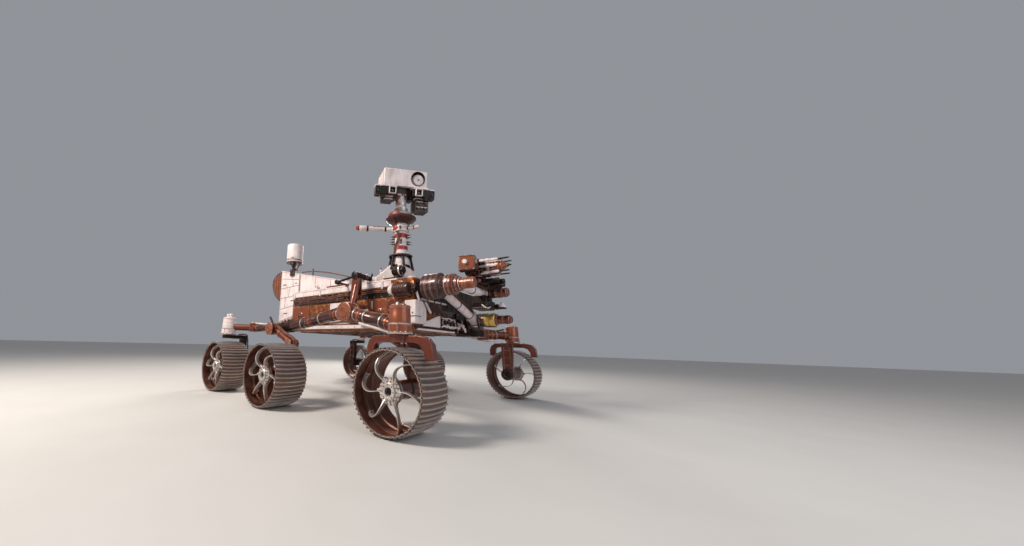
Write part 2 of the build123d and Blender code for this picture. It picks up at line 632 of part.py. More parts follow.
def main():
    os.makedirs("parts", exist_ok=True)
    # Wheels: place name, x, distance out, steered
    wheels = [
        ("front", FRONT_X, CORNER_Y, True),
        ("middle", 0.0, MIDDLE_Y, False),
        ("rear", REAR_X, CORNER_Y, True),
    ]
    rim = wheel_rim()
    hub = wheel_hub()
    for place, x, y, steered in wheels:
        right_rim = Pos(x, -y, WHEEL_TIP_R) * rim
        right_hub = Pos(x, -y, WHEEL_TIP_R) * hub
        keep(f"rim_{place}_right", right_rim)
        keep(f"rim_{place}_left", other_side(right_rim))
        keep(f"hub_{place}_right", right_hub)
        keep(f"hub_{place}_left", other_side(right_hub))
        if steered:
            right_knuckle = knuckle(x)
            keep(f"knuckle_{place}_right", right_knuckle)
            keep(f"knuckle_{place}_left", other_side(right_knuckle))
    # Pairs: node, right-hand piece
    pairs = [("rocker", rocker()), ("bogie", bogie()), ("heat_panel", heat_panel()), ("gusset", gusset())]
    for name, shape in pairs:
        keep(f"{name}_right", shape)
        keep(f"{name}_left", other_side(shape))
    base, yoke, dish = dish_parts()
    # Single pieces: node, piece
    singles = [
        ("chassis", chassis()),
        ("deck", deck()),
        ("differential", differential()),
        ("generator", generator()),
        ("generator_cradle", generator_cradle()),
        ("relay_antenna", relay_antenna()),
        ("rod_antenna", rod_antenna()),
        ("dish_base", base),
        ("dish_yoke", yoke),
        ("dish", dish),
        ("mast_base", mast_base()),
        ("mast", mast()),
        ("booms", booms()),
        ("head_neck", head_neck()),
        ("head_box", head_box()),
        ("camera_bar", camera_bar()),
        ("arm_mount", arm_mount()),
        ("arm_shoulder", arm_shoulder()),
        ("upper_arm", upper_arm()),
        ("forearm", forearm()),
        ("wrist", wrist()),
        ("turret", turret()),
        ("turret_box", turret_box()),
        ("front_cameras", front_cameras()),
        ("corner_box", corner_box()),
    ]
    for name, shape in singles:
        keep(name, shape)


main()
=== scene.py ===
# %% [markdown]
# A six-wheeled planetary rover, dressed for its picture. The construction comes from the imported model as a
# fixed frame: each piece there has its real size and place. This lesson adds the looks: finishes worked out
# by nodes, and detailed meshes for what a plain solid can't show, such as the wheels' cleats, the camera
# head and the drill.

# %% Load the frame
import json
from math import cos, pi, radians, sin

import bmesh
import bpy
from mathutils import Matrix, Vector


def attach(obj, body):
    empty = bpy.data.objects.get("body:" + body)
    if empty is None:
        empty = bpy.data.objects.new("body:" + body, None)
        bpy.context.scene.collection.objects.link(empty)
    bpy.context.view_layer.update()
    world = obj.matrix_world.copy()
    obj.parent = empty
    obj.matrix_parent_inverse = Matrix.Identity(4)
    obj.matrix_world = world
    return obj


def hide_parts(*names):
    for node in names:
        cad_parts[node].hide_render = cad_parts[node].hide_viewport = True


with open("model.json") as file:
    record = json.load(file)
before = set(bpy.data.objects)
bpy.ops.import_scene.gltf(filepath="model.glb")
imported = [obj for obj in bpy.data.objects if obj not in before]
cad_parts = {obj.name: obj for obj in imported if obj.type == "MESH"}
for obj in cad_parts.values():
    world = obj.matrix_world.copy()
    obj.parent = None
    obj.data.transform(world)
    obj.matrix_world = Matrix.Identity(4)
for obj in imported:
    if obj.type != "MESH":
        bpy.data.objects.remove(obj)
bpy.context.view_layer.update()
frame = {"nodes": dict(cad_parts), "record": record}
nodes = frame["nodes"]

# %% [markdown]
# The camera stands low at the rover's right front, as in the photograph, with a wide lens, so the near
# front wheel is large and the mast leans on the sky. A place, a turn and a lens are written as plain
# numbers, found by matching the wheels and the mast. A camera could also be aimed with a constraint, but a
# fixed turn is easier to repeat.

# %% Camera
CAMERA_AT = (2.396, -2.802, 0.532)
CAMERA_YAW = 2.3114  # the way it looks, radians from +X
CAMERA_PITCH = 0.1608
CAMERA_ROLL = 0.0308
LENS_PIXELS = 317.9  # focal length in pixels of a frame 1024 wide
FRAME_WIDTH, FRAME_HEIGHT = 1024, 546
AIM_X, AIM_Y = 359.0, 293.2  # where the lens axis meets that frame

camera_data = bpy.data.cameras.new("camera")
camera_data.sensor_width = 36
camera_data.lens = LENS_PIXELS / FRAME_WIDTH * camera_data.sensor_width
camera_data.shift_x = (FRAME_WIDTH / 2 - AIM_X) / FRAME_WIDTH
camera_data.shift_y = (AIM_Y - FRAME_HEIGHT / 2) / FRAME_WIDTH
camera_data.clip_start = 0.05
camera = bpy.data.objects.new("camera", camera_data)
bpy.context.scene.collection.objects.link(camera)
bpy.context.scene.camera = camera

look = Vector((cos(CAMERA_YAW) * cos(CAMERA_PITCH), sin(CAMERA_YAW) * cos(CAMERA_PITCH), sin(CAMERA_PITCH)))
level = Vector((sin(CAMERA_YAW), -cos(CAMERA_YAW), 0))
up = level.cross(look)
right = level * cos(CAMERA_ROLL) + up * sin(CAMERA_ROLL)
up = up * cos(CAMERA_ROLL) - level * sin(CAMERA_ROLL)
facing = Matrix((right, up, -look)).transposed().to_4x4()
camera.matrix_world = Matrix.Translation(CAMERA_AT) @ facing
print("lens", round(camera_data.lens, 2), "shift across", round(camera_data.shift_x, 3))

# %% [markdown]
# Node trees get long when each node is wired by hand. Here a small class wraps a socket, so that a shader
# reads like the formula it is: adding two values makes the Math node that adds them, and a mask minus one
# works from either side. Numbers alone stay in Python.


# %% Values that make their own nodes
class Value:
    """A socket in a node tree, with arithmetic."""

    def __init__(self, tree, socket):
        self.tree = tree
        self.socket = socket

    def math(self, operation, other=None, swap=False, clamp=False):
        node = self.tree.nodes.new("ShaderNodeMath")
        node.operation = operation
        node.use_clamp = clamp
        first, second = (1, 0) if swap else (0, 1)
        self.tree.links.new(self.socket, node.inputs[first])
        if isinstance(other, Value):
            self.tree.links.new(other.socket, node.inputs[second])
        elif other is not None:
            node.inputs[second].default_value = other
        return Value(self.tree, node.outputs[0])

    def __add__(self, other):
        return self.math("ADD", other)

    __radd__ = __add__

    def __sub__(self, other):
        return self.math("SUBTRACT", other)

    def __rsub__(self, other):
        return self.math("SUBTRACT", other, swap=True)

    def __mul__(self, other):
        return self.math("MULTIPLY", other)

    __rmul__ = __mul__

    def above(self, edge, soft=0.05):
        """0 below the edge and 1 above it, with a soft step between."""
        return ((self - edge) * (1 / soft)).math("ADD", 0.5, clamp=True)


class Finish:
    """A material and the one method that adds any node to it."""

    def __init__(self, name):
        self.material = bpy.data.materials.new(name)
        self.material.use_nodes = True
        self.tree = self.material.node_tree
        self.shader = self.tree.nodes["Principled BSDF"]

    def node(self, kind, settings=None, out=0, **inputs):
        """Adds a node: its settings first, then values or links for its sockets."""
        node = self.tree.nodes.new(kind)
        for key, value in (settings or {}).items():
            setattr(node, key, value)
        for key, value in inputs.items():
            socket = node.inputs[int(key[1:])] if key[0] == "i" and key[1:].isdigit() else node.inputs[key]
            if isinstance(value, Value):
                self.tree.links.new(value.socket, socket)
            else:
                socket.default_value = value
        return Value(self.tree, node.outputs[out])

    def place(self):
        """Where a point lies on the object, in metres."""
        return self.node("ShaderNodeTexCoord", out=3)

    def noise(self, size, detail=3.0, rough=0.55, stretch=None):
        """Cloudy value from 0 to 1 with patches of about this size in metres."""
        where = self.place()
        if stretch:
            where = self.node("ShaderNodeMapping", i0=where, i3=stretch)
        return self.node("ShaderNodeTexNoise", i0=where, Scale=1 / size, Detail=detail, Roughness=rough)

    def mix(self, factor, one, other, kind="MIX"):
        """A colour between two, by a factor."""
        settings = {"data_type": "RGBA", "blend_type": kind}
        return self.node("ShaderNodeMix", settings, out=2, i0=factor, i6=one, i7=other)

    def bump(self, height, depth, strength=1.0):
        """Tilts the surface's normal by a height map, depth in metres."""
        return self.node("ShaderNodeBump", Strength=strength, Distance=depth, Height=height)

    def facing_up(self):
        """1 on level faces, 0 on walls and undersides."""
        normal = self.node("ShaderNodeNewGeometry", out=1)
        return self.node("ShaderNodeSeparateXYZ", out=2, i0=normal).math("MAXIMUM", 0.0)

    def edges(self, reach=0.004):
        """Bright on worn edges, by the difference from a rounded normal."""
        round_normal = self.node("ShaderNodeBevel", {"samples": 4}, Radius=reach)
        flat_normal = self.node("ShaderNodeNewGeometry", out=1)
        settings = {"operation": "DOT_PRODUCT"}
        dot = self.node("ShaderNodeVectorMath", settings, out=1, i0=round_normal, i1=flat_normal)
        return (1 - dot).math("MULTIPLY", 12.0, clamp=True)

    def wire(self, **sockets):
        """Sets the shader's sockets: a value that varies is linked, a constant is written."""
        for key, value in sockets.items():
            socket = self.shader.inputs[key.replace("_", " ")]
            if isinstance(value, Value):
                self.tree.links.new(value.socket, socket)
            else:
                socket.default_value = value
        return self.material


def rgb(red, green, blue):
    """A colour as sockets take it."""
    return (red, green, blue, 1.0)


print("value class ready")

# %% [markdown]
# Finishes. Paint on such a machine is flat and a little chalky, with rust-red dust on whatever faces up and
# bare metal on the edges. The bare metal is machined, with fine lines and dust in its hollows. A photo
# texture could give all that, but it would have to be unwrapped for each piece: noise in the object's own
# space needs no unwrapping and has the right scale everywhere.

# %% Painted finishes
DUST = rgb(0.42, 0.15, 0.07)
SHADE = rgb(0.30, 0.13, 0.10)


def painted(name, colour, edge_colour, dust=0.5, rough=0.5, metallic=0.0, grime=0.5, coat=0.0, shine=0.5):
    """Paint with cloudy dirt, dust on level faces and bright worn edges."""
    f = Finish(name)
    cloud = f.noise(0.12, detail=5)
    fine = f.noise(0.012, detail=4, rough=0.7)
    streak = f.noise(0.05, detail=3, stretch=(1.0, 1.0, 0.18))
    dirt = (cloud * 0.6 + streak * 0.5).above(0.62, 0.22) * grime
    soiled = f.mix(dirt, colour, f.mix(0.65, colour, SHADE, "MULTIPLY"))
    lying = (f.facing_up() * (cloud * 0.8 + fine * 0.5)).above(0.5, 0.5) * dust
    dusty = f.mix(lying, soiled, DUST)
    worn = (f.edges() * fine).above(0.35, 0.3) * 0.75
    final = f.mix(worn, dusty, edge_colour)
    normal = f.bump(fine * 0.6 + cloud * 0.4, 0.0012, 0.5)
    return f.wire(
        Base_Color=final,
        Roughness=rough + dirt * 0.2 + lying * 0.3,
        Metallic=metallic,
        Coat_Weight=coat,
        Specular_IOR_Level=shine,
        Normal=normal,
    )


def foil(name, colour, deep, rough=0.32):
    """Crinkled metal foil over a panel."""
    f = Finish(name)
    crease = f.node("ShaderNodeTexVoronoi", {"feature": "DISTANCE_TO_EDGE"}, out=0, i0=f.place(), Scale=16.0)
    wave = f.noise(0.05, detail=4)
    tone = f.mix(wave.above(0.5, 0.35), deep, colour)
    lying = (f.facing_up() * wave).above(0.4, 0.4) * 0.4
    return f.wire(
        Base_Color=f.mix(lying, tone, DUST),
        Metallic=0.75,
        Roughness=rough + wave * 0.25,
        Normal=f.bump(crease * 2.0 + wave * 0.6, 0.006, 0.8),
    )


def bare_metal(name, colour, dust=0.5, rough=0.28, grain=(1.0, 30.0, 1.0)):
    """Machined metal with fine lines and dust in its hollows."""
    f = Finish(name)
    line = f.noise(0.02, detail=2, stretch=grain)
    cloud = f.noise(0.09, detail=5)
    dirt = (cloud + line * 0.3).above(0.68, 0.3) * dust
    worn = f.edges(0.003) * 0.5
    tone = f.mix(dirt, colour, rgb(0.24, 0.11, 0.07))
    return f.wire(
        Base_Color=f.mix(worn, tone, rgb(0.85, 0.80, 0.76)),
        Metallic=0.85 - dirt * 0.6,
        Roughness=rough + dirt * 0.45 + line * 0.12,
        Normal=f.bump(line * 0.3 + cloud * 0.5, 0.0015, 0.5),
    )


CHIP = rgb(0.75, 0.62, 0.55)
GLOSS = {"dust": 0.25, "metallic": 0.35, "coat": 0.35}
white = painted("white_paint", rgb(0.80, 0.70, 0.69), rgb(0.42, 0.24, 0.20), dust=0.35, rough=0.55, grime=0.6)
bronze = painted("bronze_paint", rgb(0.17, 0.036, 0.017), CHIP, rough=0.32, **{**GLOSS, "metallic": 0.4})
umber = painted("umber_paint", rgb(0.062, 0.016, 0.012), CHIP, rough=0.34, **GLOSS)
dark = painted("dark_paint", rgb(0.013, 0.006, 0.005), rgb(0.45, 0.32, 0.27), dust=0.3, rough=0.4, shine=0.22)
red = painted("red_paint", rgb(0.32, 0.012, 0.008), rgb(0.6, 0.25, 0.2), dust=0.25, rough=0.42)
orange = painted("orange_paint", rgb(0.29, 0.072, 0.027), CHIP, rough=0.35, **{**GLOSS, "coat": 0.3})
gold = bare_metal("gold_barrel", rgb(0.80, 0.56, 0.16), dust=0.4, rough=0.3)
brown_foil = foil("brown_foil", rgb(0.46, 0.17, 0.06), rgb(0.16, 0.045, 0.02))
wheel_metal = bare_metal("wheel_metal", rgb(0.52, 0.47, 0.44), dust=0.6, rough=0.26)
# Darker metal of the film on the groove floors: painted shade in the hollows between the cleats, with dust on
# it.
groove_metal = bare_metal("groove_metal", rgb(0.17, 0.125, 0.108), dust=0.7, rough=0.34)
drum_metal = bare_metal("drum_metal", rgb(0.15, 0.052, 0.036), dust=0.6, rough=0.24)
hub_metal = bare_metal("hub_metal", rgb(0.72, 0.66, 0.62), dust=0.45, rough=0.26, grain=(8.0, 8.0, 8.0))
steel = bare_metal("plain_steel", rgb(0.55, 0.50, 0.47), dust=0.5, rough=0.3, grain=(6.0, 6.0, 6.0))


def lens_glass():
    """Black coated lens."""
    f = Finish("lens_glass")
    ring = f.noise(0.01, detail=1)
    return f.wire(Base_Color=rgb(0.006, 0.006, 0.010), Roughness=0.05 + ring * 0.04, Coat_Weight=1.0)


def braid(name, colour):
    """Braided sleeve over a wire bundle."""
    f = Finish(name)
    weave = f.node("ShaderNodeTexWave", {"bands_direction": "DIAGONAL"}, out=1, i0=f.place(), Scale=90.0)
    cloud = f.noise(0.04)
    return f.wire(
        Base_Color=f.mix(cloud.above(0.5, 0.5) * 0.6, colour, DUST),
        Roughness=0.65 + weave * 0.1,
        Normal=f.bump(weave, 0.0015, 0.7),
    )


glass = lens_glass()
sleeve = braid("wire_sleeve", rgb(0.06, 0.028, 0.022))
FINISHES = {
    "white_paint": white, "bronze_paint": bronze, "dark_paint": dark, "red_paint": red, "gold": gold,
    "brown_foil": brown_foil, "wheel_metal": wheel_metal, "hub_metal": hub_metal, "grey_metal": steel,
}
print("finishes", len(bpy.data.materials))

# %% [markdown]
# Small builders. Every mesh here is made in code: tubes and rings as lathed profiles, plates as outlines
# given a thickness, boxes with bevelled edges. A form collects them, and `done` ends each piece: it makes
# the object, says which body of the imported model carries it, which finish it has and which plain solid it
# stands for, and leaves the form empty for the next piece. The same shapes could be modelled by hand with
# Blender's own primitives and modifiers, but then no number would have a name. Lengths in a form are in
# millimetres, as on a drawing, and are scaled once when its mesh is made. The camera, the lamps and the
# finishes stay in Blender's metres.

# %% Mesh builders
MM = 0.001  # the forms' lengths are written in millimetres
AHEAD = Vector((1, 0, 0))
UP = Vector((0, 0, 1))
move = Matrix.Translation


def turn(degrees, axis):
    return Matrix.Rotation(radians(degrees), 4, axis)


def frame_to(point, direction):
    """A matrix whose Z runs along a direction from a point."""
    return move(Vector(point)) @ Vector(direction).to_track_quat("Z", "Y").to_matrix().to_4x4()


def polar(radius, degrees):
    """The x and y of a point on a circle."""
    return radius * cos(radians(degrees)), radius * sin(radians(degrees))


UPRIGHT = turn(90, "X")  # stands a plate's outline up, with its height along Z


class Form:
    """A mesh that grows by its methods until done() makes it a piece."""

    def __init__(self):
        self.mesh = bmesh.new()

    def vert(self, at):
        return self.mesh.verts.new(at)

    def face(self, corners):
        self.mesh.faces.new(corners)

    def skin(self, rings, closed=True):
        """Faces between rings of points, with caps at both ends if closed."""
        count = len(rings[0])
        for low, high in zip(rings, rings[1:]):
            for i in range(count):
                self.face((low[i], low[(i + 1) % count], high[(i + 1) % count], high[i]))
        if closed:
            self.face(list(reversed(rings[0])))
            self.face(rings[-1])

    def lathe(self, profile, place, count=48, closed=True):
        """Turns a profile of (radius, height) pairs about Z."""
        turns = [2 * pi * i / count for i in range(count)]
        self.skin([[self.vert(place @ Vector((radius * cos(angle), radius * sin(angle),
            height))) for angle in turns] for radius, height in profile], closed)

    def band(self, place, inner, outer, low, high, slope=1, count=64):
        """A raised band round a turned part, with sloped sides."""
        profile = [(inner, low), (outer, low + slope), (outer, high - slope), (inner, high)]
        self.lathe(profile, place, count, closed=False)

    def stud(self, place, radius, side, tip, top, count=8):
        """A rivet, knob or bolt head: straight as far as its side, then in to its tip."""
        self.lathe([(radius, 0), (radius, side), (tip, top)], place, count)

    def tube(self, start, end, radius, end_radius=None, count=32):
        """A round bar between two points."""
        start, end = Vector(start), Vector(end)
        shape = [(radius, 0), (radius if end_radius is None else end_radius, (end - start).length)]
        self.lathe(shape, frame_to(start, end - start), count)

    def box(self, low, high, place=None):
        """A box between two corners."""
        size = [b - a for a, b in zip(low, high)]
        middle = [(a + b) / 2 for a, b in zip(low, high)]
        local = (place or Matrix()) @ move(middle) @ Matrix.Diagonal((*size, 1))
        bmesh.ops.create_cube(self.mesh, size=1, matrix=local)

    def pair(self, low, high, place=None):
        """A box and its mirror on the other side, where Y is negative."""
        for side in (-1, 1):
            near, far = sorted((side * low[1], side * high[1]))
            self.box((low[0], near, low[2]), (high[0], far, high[2]), place)

    def plate(self, outline, thick, place):
        """A flat outline in XY given a thickness along Z."""
        self.skin([[self.vert(place @ Vector((x, y, z))) for x, y in outline] for z in (0, thick)])

    def bolts(self, centre, direction, circle, count, size=7, height=6, start=0):
        """Six-sided bolt heads on a circle about a direction."""
        place = frame_to(centre, direction)
        for i in range(count):
            angle = start + 2 * pi * i / count
            at = place @ move((circle * cos(angle), circle * sin(angle), 0))
            self.lathe([(size, 0), (size, height * 0.7), (size * 0.8, height)], at, count=6)

    def path(self, points, radius, count=10, smooth=6):
        """A wire or pipe that passes through the points, rounded by a Catmull curve."""
        points = [Vector(p) for p in points]
        ends = [2 * points[0] - points[1]] + points + [2 * points[-1] - points[-2]]
        line = []
        for a, b, c, d in zip(ends, ends[1:], ends[2:], ends[3:]):
            for step in range(smooth):
                t = step / smooth
                line.append(0.5 * (2 * b + (c - a) * t + (2 * a - 5 * b + 4 * c - d) * t * t + (3 * b - a - 3
                    * c + d) * t ** 3))
        line.append(points[-1])
        side = Vector((0, 0, 1)) if abs((line[1] - line[0]).normalized().z) < 0.9 else Vector((1, 0, 0))
        rings = []
        for i, point in enumerate(line):
            ahead = (line[min(i + 1, len(line) - 1)] - line[max(i - 1, 0)]).normalized()
            across = ahead.cross(side).normalized()
            side = across.cross(ahead).normalized()
            turns = [2 * pi * k / count for k in range(count)]
            rings.append([self.vert(point + radius * (across * cos(a) + side * sin(a))) for a in turns])
        self.skin(rings)

    def object(self, name, finish, smooth=35, bevel=0, segments=2):
        """The mesh as an object, smooth where faces meet at under the angle; the form is empty again."""
        mesh = bpy.data.meshes.new(name)
        bmesh.ops.recalc_face_normals(self.mesh, faces=self.mesh.faces)
        self.mesh.to_mesh(mesh)
        mesh.transform(Matrix.Scale(MM, 4))
        self.mesh.free()
        self.mesh = bmesh.new()
        mesh.materials.append(finish)
        piece = bpy.data.objects.new(name, mesh)
        bpy.context.scene.collection.objects.link(piece)
        if bevel:
            soft = piece.modifiers.new("bevel", "BEVEL")
            soft.width = bevel * MM
            soft.segments = segments
            soft.limit_method = "ANGLE"
            soft.angle_limit = radians(35)
            soft.harden_normals = False
        mesh.shade_smooth()
        mesh.set_sharp_from_angle(angle=radians(smooth))
        return piece

    def done(self, name, finish, body="frame", replaces="", **shading):
        """Ends a piece that rides on a body and may stand for solids of the frame."""
        piece = self.object(name, finish, **shading)
        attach(piece, body)
        if replaces:
            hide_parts(*replaces.split())


form = Form()
print("builders ready")

# %% Wheels
SIDES = [("right", -1), ("left", 1)]
WHEEL_R = 263
# Axles: name, place along the rover, distance out
AXLES = [("front", 1220, 1120), ("middle", 0, 1220), ("rear", -1110, 1120)]
WHEELS = [(f"{axle}_{side_name}", x, y, side) for side_name, side in SIDES for axle, x, y in AXLES]

# %% [markdown]
# The tread is one thin aluminium skin whose outer face rises into forty-eight cleats. Each cleat is bowed a
# little across the wheel, and the skin is crowned, lower at its edges. Forty-eight separate bars set on a
# drum would also look right from afar, but then each needs a joint line; here the cleats grow from one grid
# of points round the wheel, so the light runs over them without a break.

# %% Tread
CLEATS = 48
TREAD_HALF = 150
CLEAT_RISE = 10
SKIN_INNER = 246
CLEAT_SHAPE = [(-0.5, 0), (-0.21, 0.04), (-0.12, 0.92), (0, 1), (0.12, 0.92), (0.21, 0.04)]
STATIONS = 14  # rows across the wheel
TICK_DEEP = 10


def wheel_frame(x, y, side):
    """Wheel's own frame: its Z points out of the wheel's outer face."""
    return move((x, side * y, WHEEL_R)) @ turn(-90 * side, "X")


def tread(place, lean):
    """The skin with its cleats, and a darker film over the floors between the cleats: painted shade in those
    hollows.
    """
    groove_shade = Form()
    rings, floors = [], []
    for k in range(STATIONS + 1):
        across = 2 * k / STATIONS - 1
        crown = 5 * across ** 4
        bow = lean * 0.2 * (1 - across ** 2)
        ring = []
        floor = []
        for i in range(CLEATS):
            for share, rise in CLEAT_SHAPE:
                angle = 2 * pi / CLEATS * (i + share + bow) - pi / 2
                radius = WHEEL_R - CLEAT_RISE * (1 - rise) - crown
                at = place @ Vector((radius * cos(angle), radius * sin(angle), across * TREAD_HALF))
                ring.append(form.vert(at))
                if rise < 0.1:
                    film = Vector((cos(angle), sin(angle), 0)) * 0.4
                    floor.append(groove_shade.vert(at + place.to_3x3() @ film))
        rings.append(ring)
        floors.append(floor)
    count = len(rings[0])
    for low, high in zip(floors, floors[1:]):
        for i in range(len(floor)):
            if i % 3 != 1:
                j = (i + 1) % len(floor)
                groove_shade.face((low[i], low[j], high[j], high[i]))
    for end in (STATIONS, 0):
        across = 1 if end else -1
        ring = []
        for i in range(count):
            angle = 2 * pi * i / count - pi / 2 - pi / CLEATS
            at = place @ Vector((SKIN_INNER * cos(angle), SKIN_INNER * sin(angle), across * TREAD_HALF))
            ring.append(form.vert(at))
        rings.append(ring)
    form.skin(rings + rings[:1], closed=False)
    for i in range(CLEATS):
        tick_at = place @ Matrix.Rotation(2 * pi * i / CLEATS - pi / 2, 4, "Z")
        for low in (-TREAD_HALF, TREAD_HALF - TICK_DEEP):
            form.box((241, -5.2, low), (257.5, 5.2, low + TICK_DEEP), tick_at)
    return groove_shade


# Inside of the skin with its stiffening rings: radius and height across the wheel
DRUM_SHAPE = [
    (246.2, 149), (240, 147), (239, 142), (245.5, 138), (245.5, 60), (232, 56),
    (230, 50), (232, 44), (245.5, 40), (245.5, -24), (237, -28), (237, -34),
    (245.5, -38), (245.5, -138), (239, -142), (240, -147), (246.2, -149),
]
for name, x, y, side in WHEELS:
    groove_shade = tread(wheel_frame(x, y, side), side)
    form.done(f"tread_{name}", wheel_metal, f"wheel_{name}", replaces=f"rim_{name}", smooth=28)
    # The darker film over the groove floors is painted shade between the cleats.
    groove_shade.done(f"grooves_{name}", groove_metal, f"wheel_{name}")
    form.lathe(DRUM_SHAPE, wheel_frame(x, y, side), count=96, closed=False)
    form.done(f"drum_{name}", drum_metal, f"wheel_{name}")
print("treads", len(WHEELS), "cleats each", CLEATS)

# %% [markdown]
# Six curved springs carry the rim on the hub. Each is a strip of titanium that bows out of the wheel's face
# and sweeps to one side before its foot is bolted to a ring inside the rim. A bevelled curve could make it,
# but a strip needs a width that tapers and a foot, so it is built here from cross-sections along its path.

# %% Spokes and hub
SPOKES = 6
SPOKE_PATH = [  # radius, sweep in degrees, height out of the wheel's middle, half width
    (66, 0, 90, 20), (92, -4, 108, 18), (120, -5, 121, 17), (150, -3, 125, 16),
    (180, 2, 118, 15), (206, 8, 100, 15), (226, 14, 74, 16), (237.5, 19, 50, 18),
    (240.5, 22, 36, 20),
]
SPOKE_HALF = 3.2  # half of a spoke's thickness
FOOT_R, FOOT_SWEEP, FOOT_HEIGHT = 233, 21, 44  # where two bolts hold a spoke's foot


def smooth_rows(rows, steps):
    """Rows of numbers with Catmull rows put between them."""
    ends = [rows[0]] + list(rows) + [rows[-1]]
    out = []
    for a, b, c, d in zip(ends, ends[1:], ends[2:], ends[3:]):
        for step in range(steps):
            t = step / steps
            out.append([0.5 * (2 * q + (r - p) * t + (2 * p - 5 * q + 4 * r - s) * t * t + (3 * q - p - 3 * r
                + s) * t ** 3) for p, q, r, s in zip(a, b, c, d)])
    out.append(list(rows[-1]))
    return out


def add_spoke(place, start):
    rows = smooth_rows(SPOKE_PATH, 4)
    points = []
    for radius, sweep, height, half in rows:
        points.append((Vector((*polar(radius, start - sweep), height)), half))
    rings = []
    for i, (point, half) in enumerate(points):
        ahead = (points[min(i + 1, len(points) - 1)][0] - points[max(i - 1, 0)][0]).normalized()
        wide = (UP - ahead * ahead.z).normalized()
        thick = ahead.cross(wide)
        corners = []
        for u, v in ((-1, -0.6), (-0.9, -1), (0.9, -1), (1, -0.6), (1, 0.6), (0.9, 1), (-0.9, 1), (-1, 0.6)):
            corners.append(form.vert(place @ (point + wide * half * u + thick * SPOKE_HALF * v)))
        rings.append(corners)
    form.skin(rings)
    at = place @ Vector((*polar(FOOT_R, start - FOOT_SWEEP), FOOT_HEIGHT))
    inward = place.to_3x3() @ -Vector((*polar(1, start - FOOT_SWEEP), 0))
    for shift in (-11, 11):
        middle = at + place.to_3x3() @ Vector((0, 0, shift))
        form.tube(middle - inward * 5, middle + inward * 5, 5.5, count=6)


HUB_SHAPE = [
    (56, 59), (56, 68), (78, 70), (80, 74), (80, 98), (77, 102),
    (68, 103), (66, 108), (52, 109), (50, 114), (50, 118), (47, 121),
    (36, 121), (34, 117), (26, 116), (24, 96), (10, 95),
]


def hub(place):
    """The hub with its spokes, its dark bolts, and a dark disc at the bottom of the bore that is painted
    shade in that hole.
    """
    bolts = Form()
    form.lathe(HUB_SHAPE, place, count=72)
    # Dark disc at the bottom of the bore: painted shade in the hole.
    bolts.lathe([(23.5, 96.5), (23.5, 99), (4, 99.2)], place, count=32)
    out = place.to_3x3() @ UP
    for circle, height, count, size in ((73, 102, 18, 4.6), (59, 108, 14, 5), (42, 120, 8, 4.4)):
        bolts.bolts(place @ Vector((0, 0, height)), out, circle, count, size, 3.5)
    for i in range(SPOKES):
        lug = place @ turn(360 * i / SPOKES, "Z")
        form.box((60, -10, 80), (89, 10, 108), lug)
        add_spoke(place, i * 360 / SPOKES)
    return bolts


for name, x, y, side in WHEELS:
    bolts = hub(wheel_frame(x, y, side) @ Matrix.Scale(-side, 4, (0, 1, 0)))
    form.done(f"spokes_{name}", hub_metal, f"wheel_{name}", replaces=f"hub_{name}", smooth=40)
    bolts.done(f"hub_bolts_{name}", dark, f"wheel_{name}")
print("hubs with", SPOKES, "spokes")

# %% [markdown]
# Each corner wheel hangs from a steering arm: a casting over the wheel, a leg down its inner side and a
# drive in the hub. The plain solids have those shapes, so they are kept and bevelled, and the castings'
# rims, ribs, covers and bolts are set on them. The same castings could be sculpted, but lathed covers and
# bevelled ribs keep every edge sharp where a machinist would leave it sharp.

# %% Steering arms and drives
CORNER_LEG_Y = 954  # inner legs of the corner wheels, outer face
MIDDLE_LEG_Y = 1054


def soften(node, width=4):
    """Rounds the sharp edges of a frame solid that keeps showing."""
    soft = nodes[node].modifiers.new("soft edges", "BEVEL")
    soft.width = width * MM
    soft.segments = 2
    soft.limit_method = "ANGLE"
    soft.angle_limit = radians(50)


def add_drive(x, y, side, leg_y):
    """Ribbed motor housing from the leg out to the hub, and its round cover inside the leg."""
    out = Vector((0, side, 0))
    start = Vector((x, side * leg_y, WHEEL_R))
    length = y - 56 - leg_y
    shape = [(60.5, 0), (60.5, 10), (52, 12), (52, 30), (57.5, 32), (57.5, 40), (52, 42), (52, length - 30),
        (59.5, length - 27), (59.5, length - 4), (54, length)]
    form.lathe(shape, frame_to(start, out))
    inner = Vector((x, side * (leg_y - 52), WHEEL_R))
    cover = [(62, 0), (62, 12), (56, 16), (50, 17), (48, 26), (30, 28), (26, 22), (12, 21)]
    form.lathe(cover, frame_to(inner, -out))
    form.bolts(inner - out * 16, -out, 55, 10, 3.8, 4)
    form.bolts(start + out * 10, out, 56.5, 12, 3.4, 2.5)


def add_arm_trim(x, side):
    """Raised rim, ribs and bolts of a steering arm over its wheel and down the leg."""
    top, low = 596, 560
    inner, outer = CORNER_LEG_Y - 2, 1120
    near, far = sorted((side * inner, side * outer))
    for edge in (-56, 47):
        form.box((x + edge, near, top - 2), (x + edge + 9, far, top + 3))
    for step in range(3):
        y = side * (985 + 35 * step)
        form.box((x - 50, y - 3, low - 4), (x + 50, y + 3, low + 4))
    face = side * (CORNER_LEG_Y - 36)
    for across in (x - 34, x + 34):
        form.box((across - 5, face - 4, 315), (across + 5, face + 4, 550))
    for height in (360, 440, 520):
        form.box((x - 34, face - 4, height - 4), (x + 34, face + 4, height + 4))
    form.bolts((x, side * 985, top), UP, 30, 6, 4.8, 5)
    form.bolts((x, face, 300), (0, -side, 0), 46, 4, 4.5, 6, start=pi / 4)


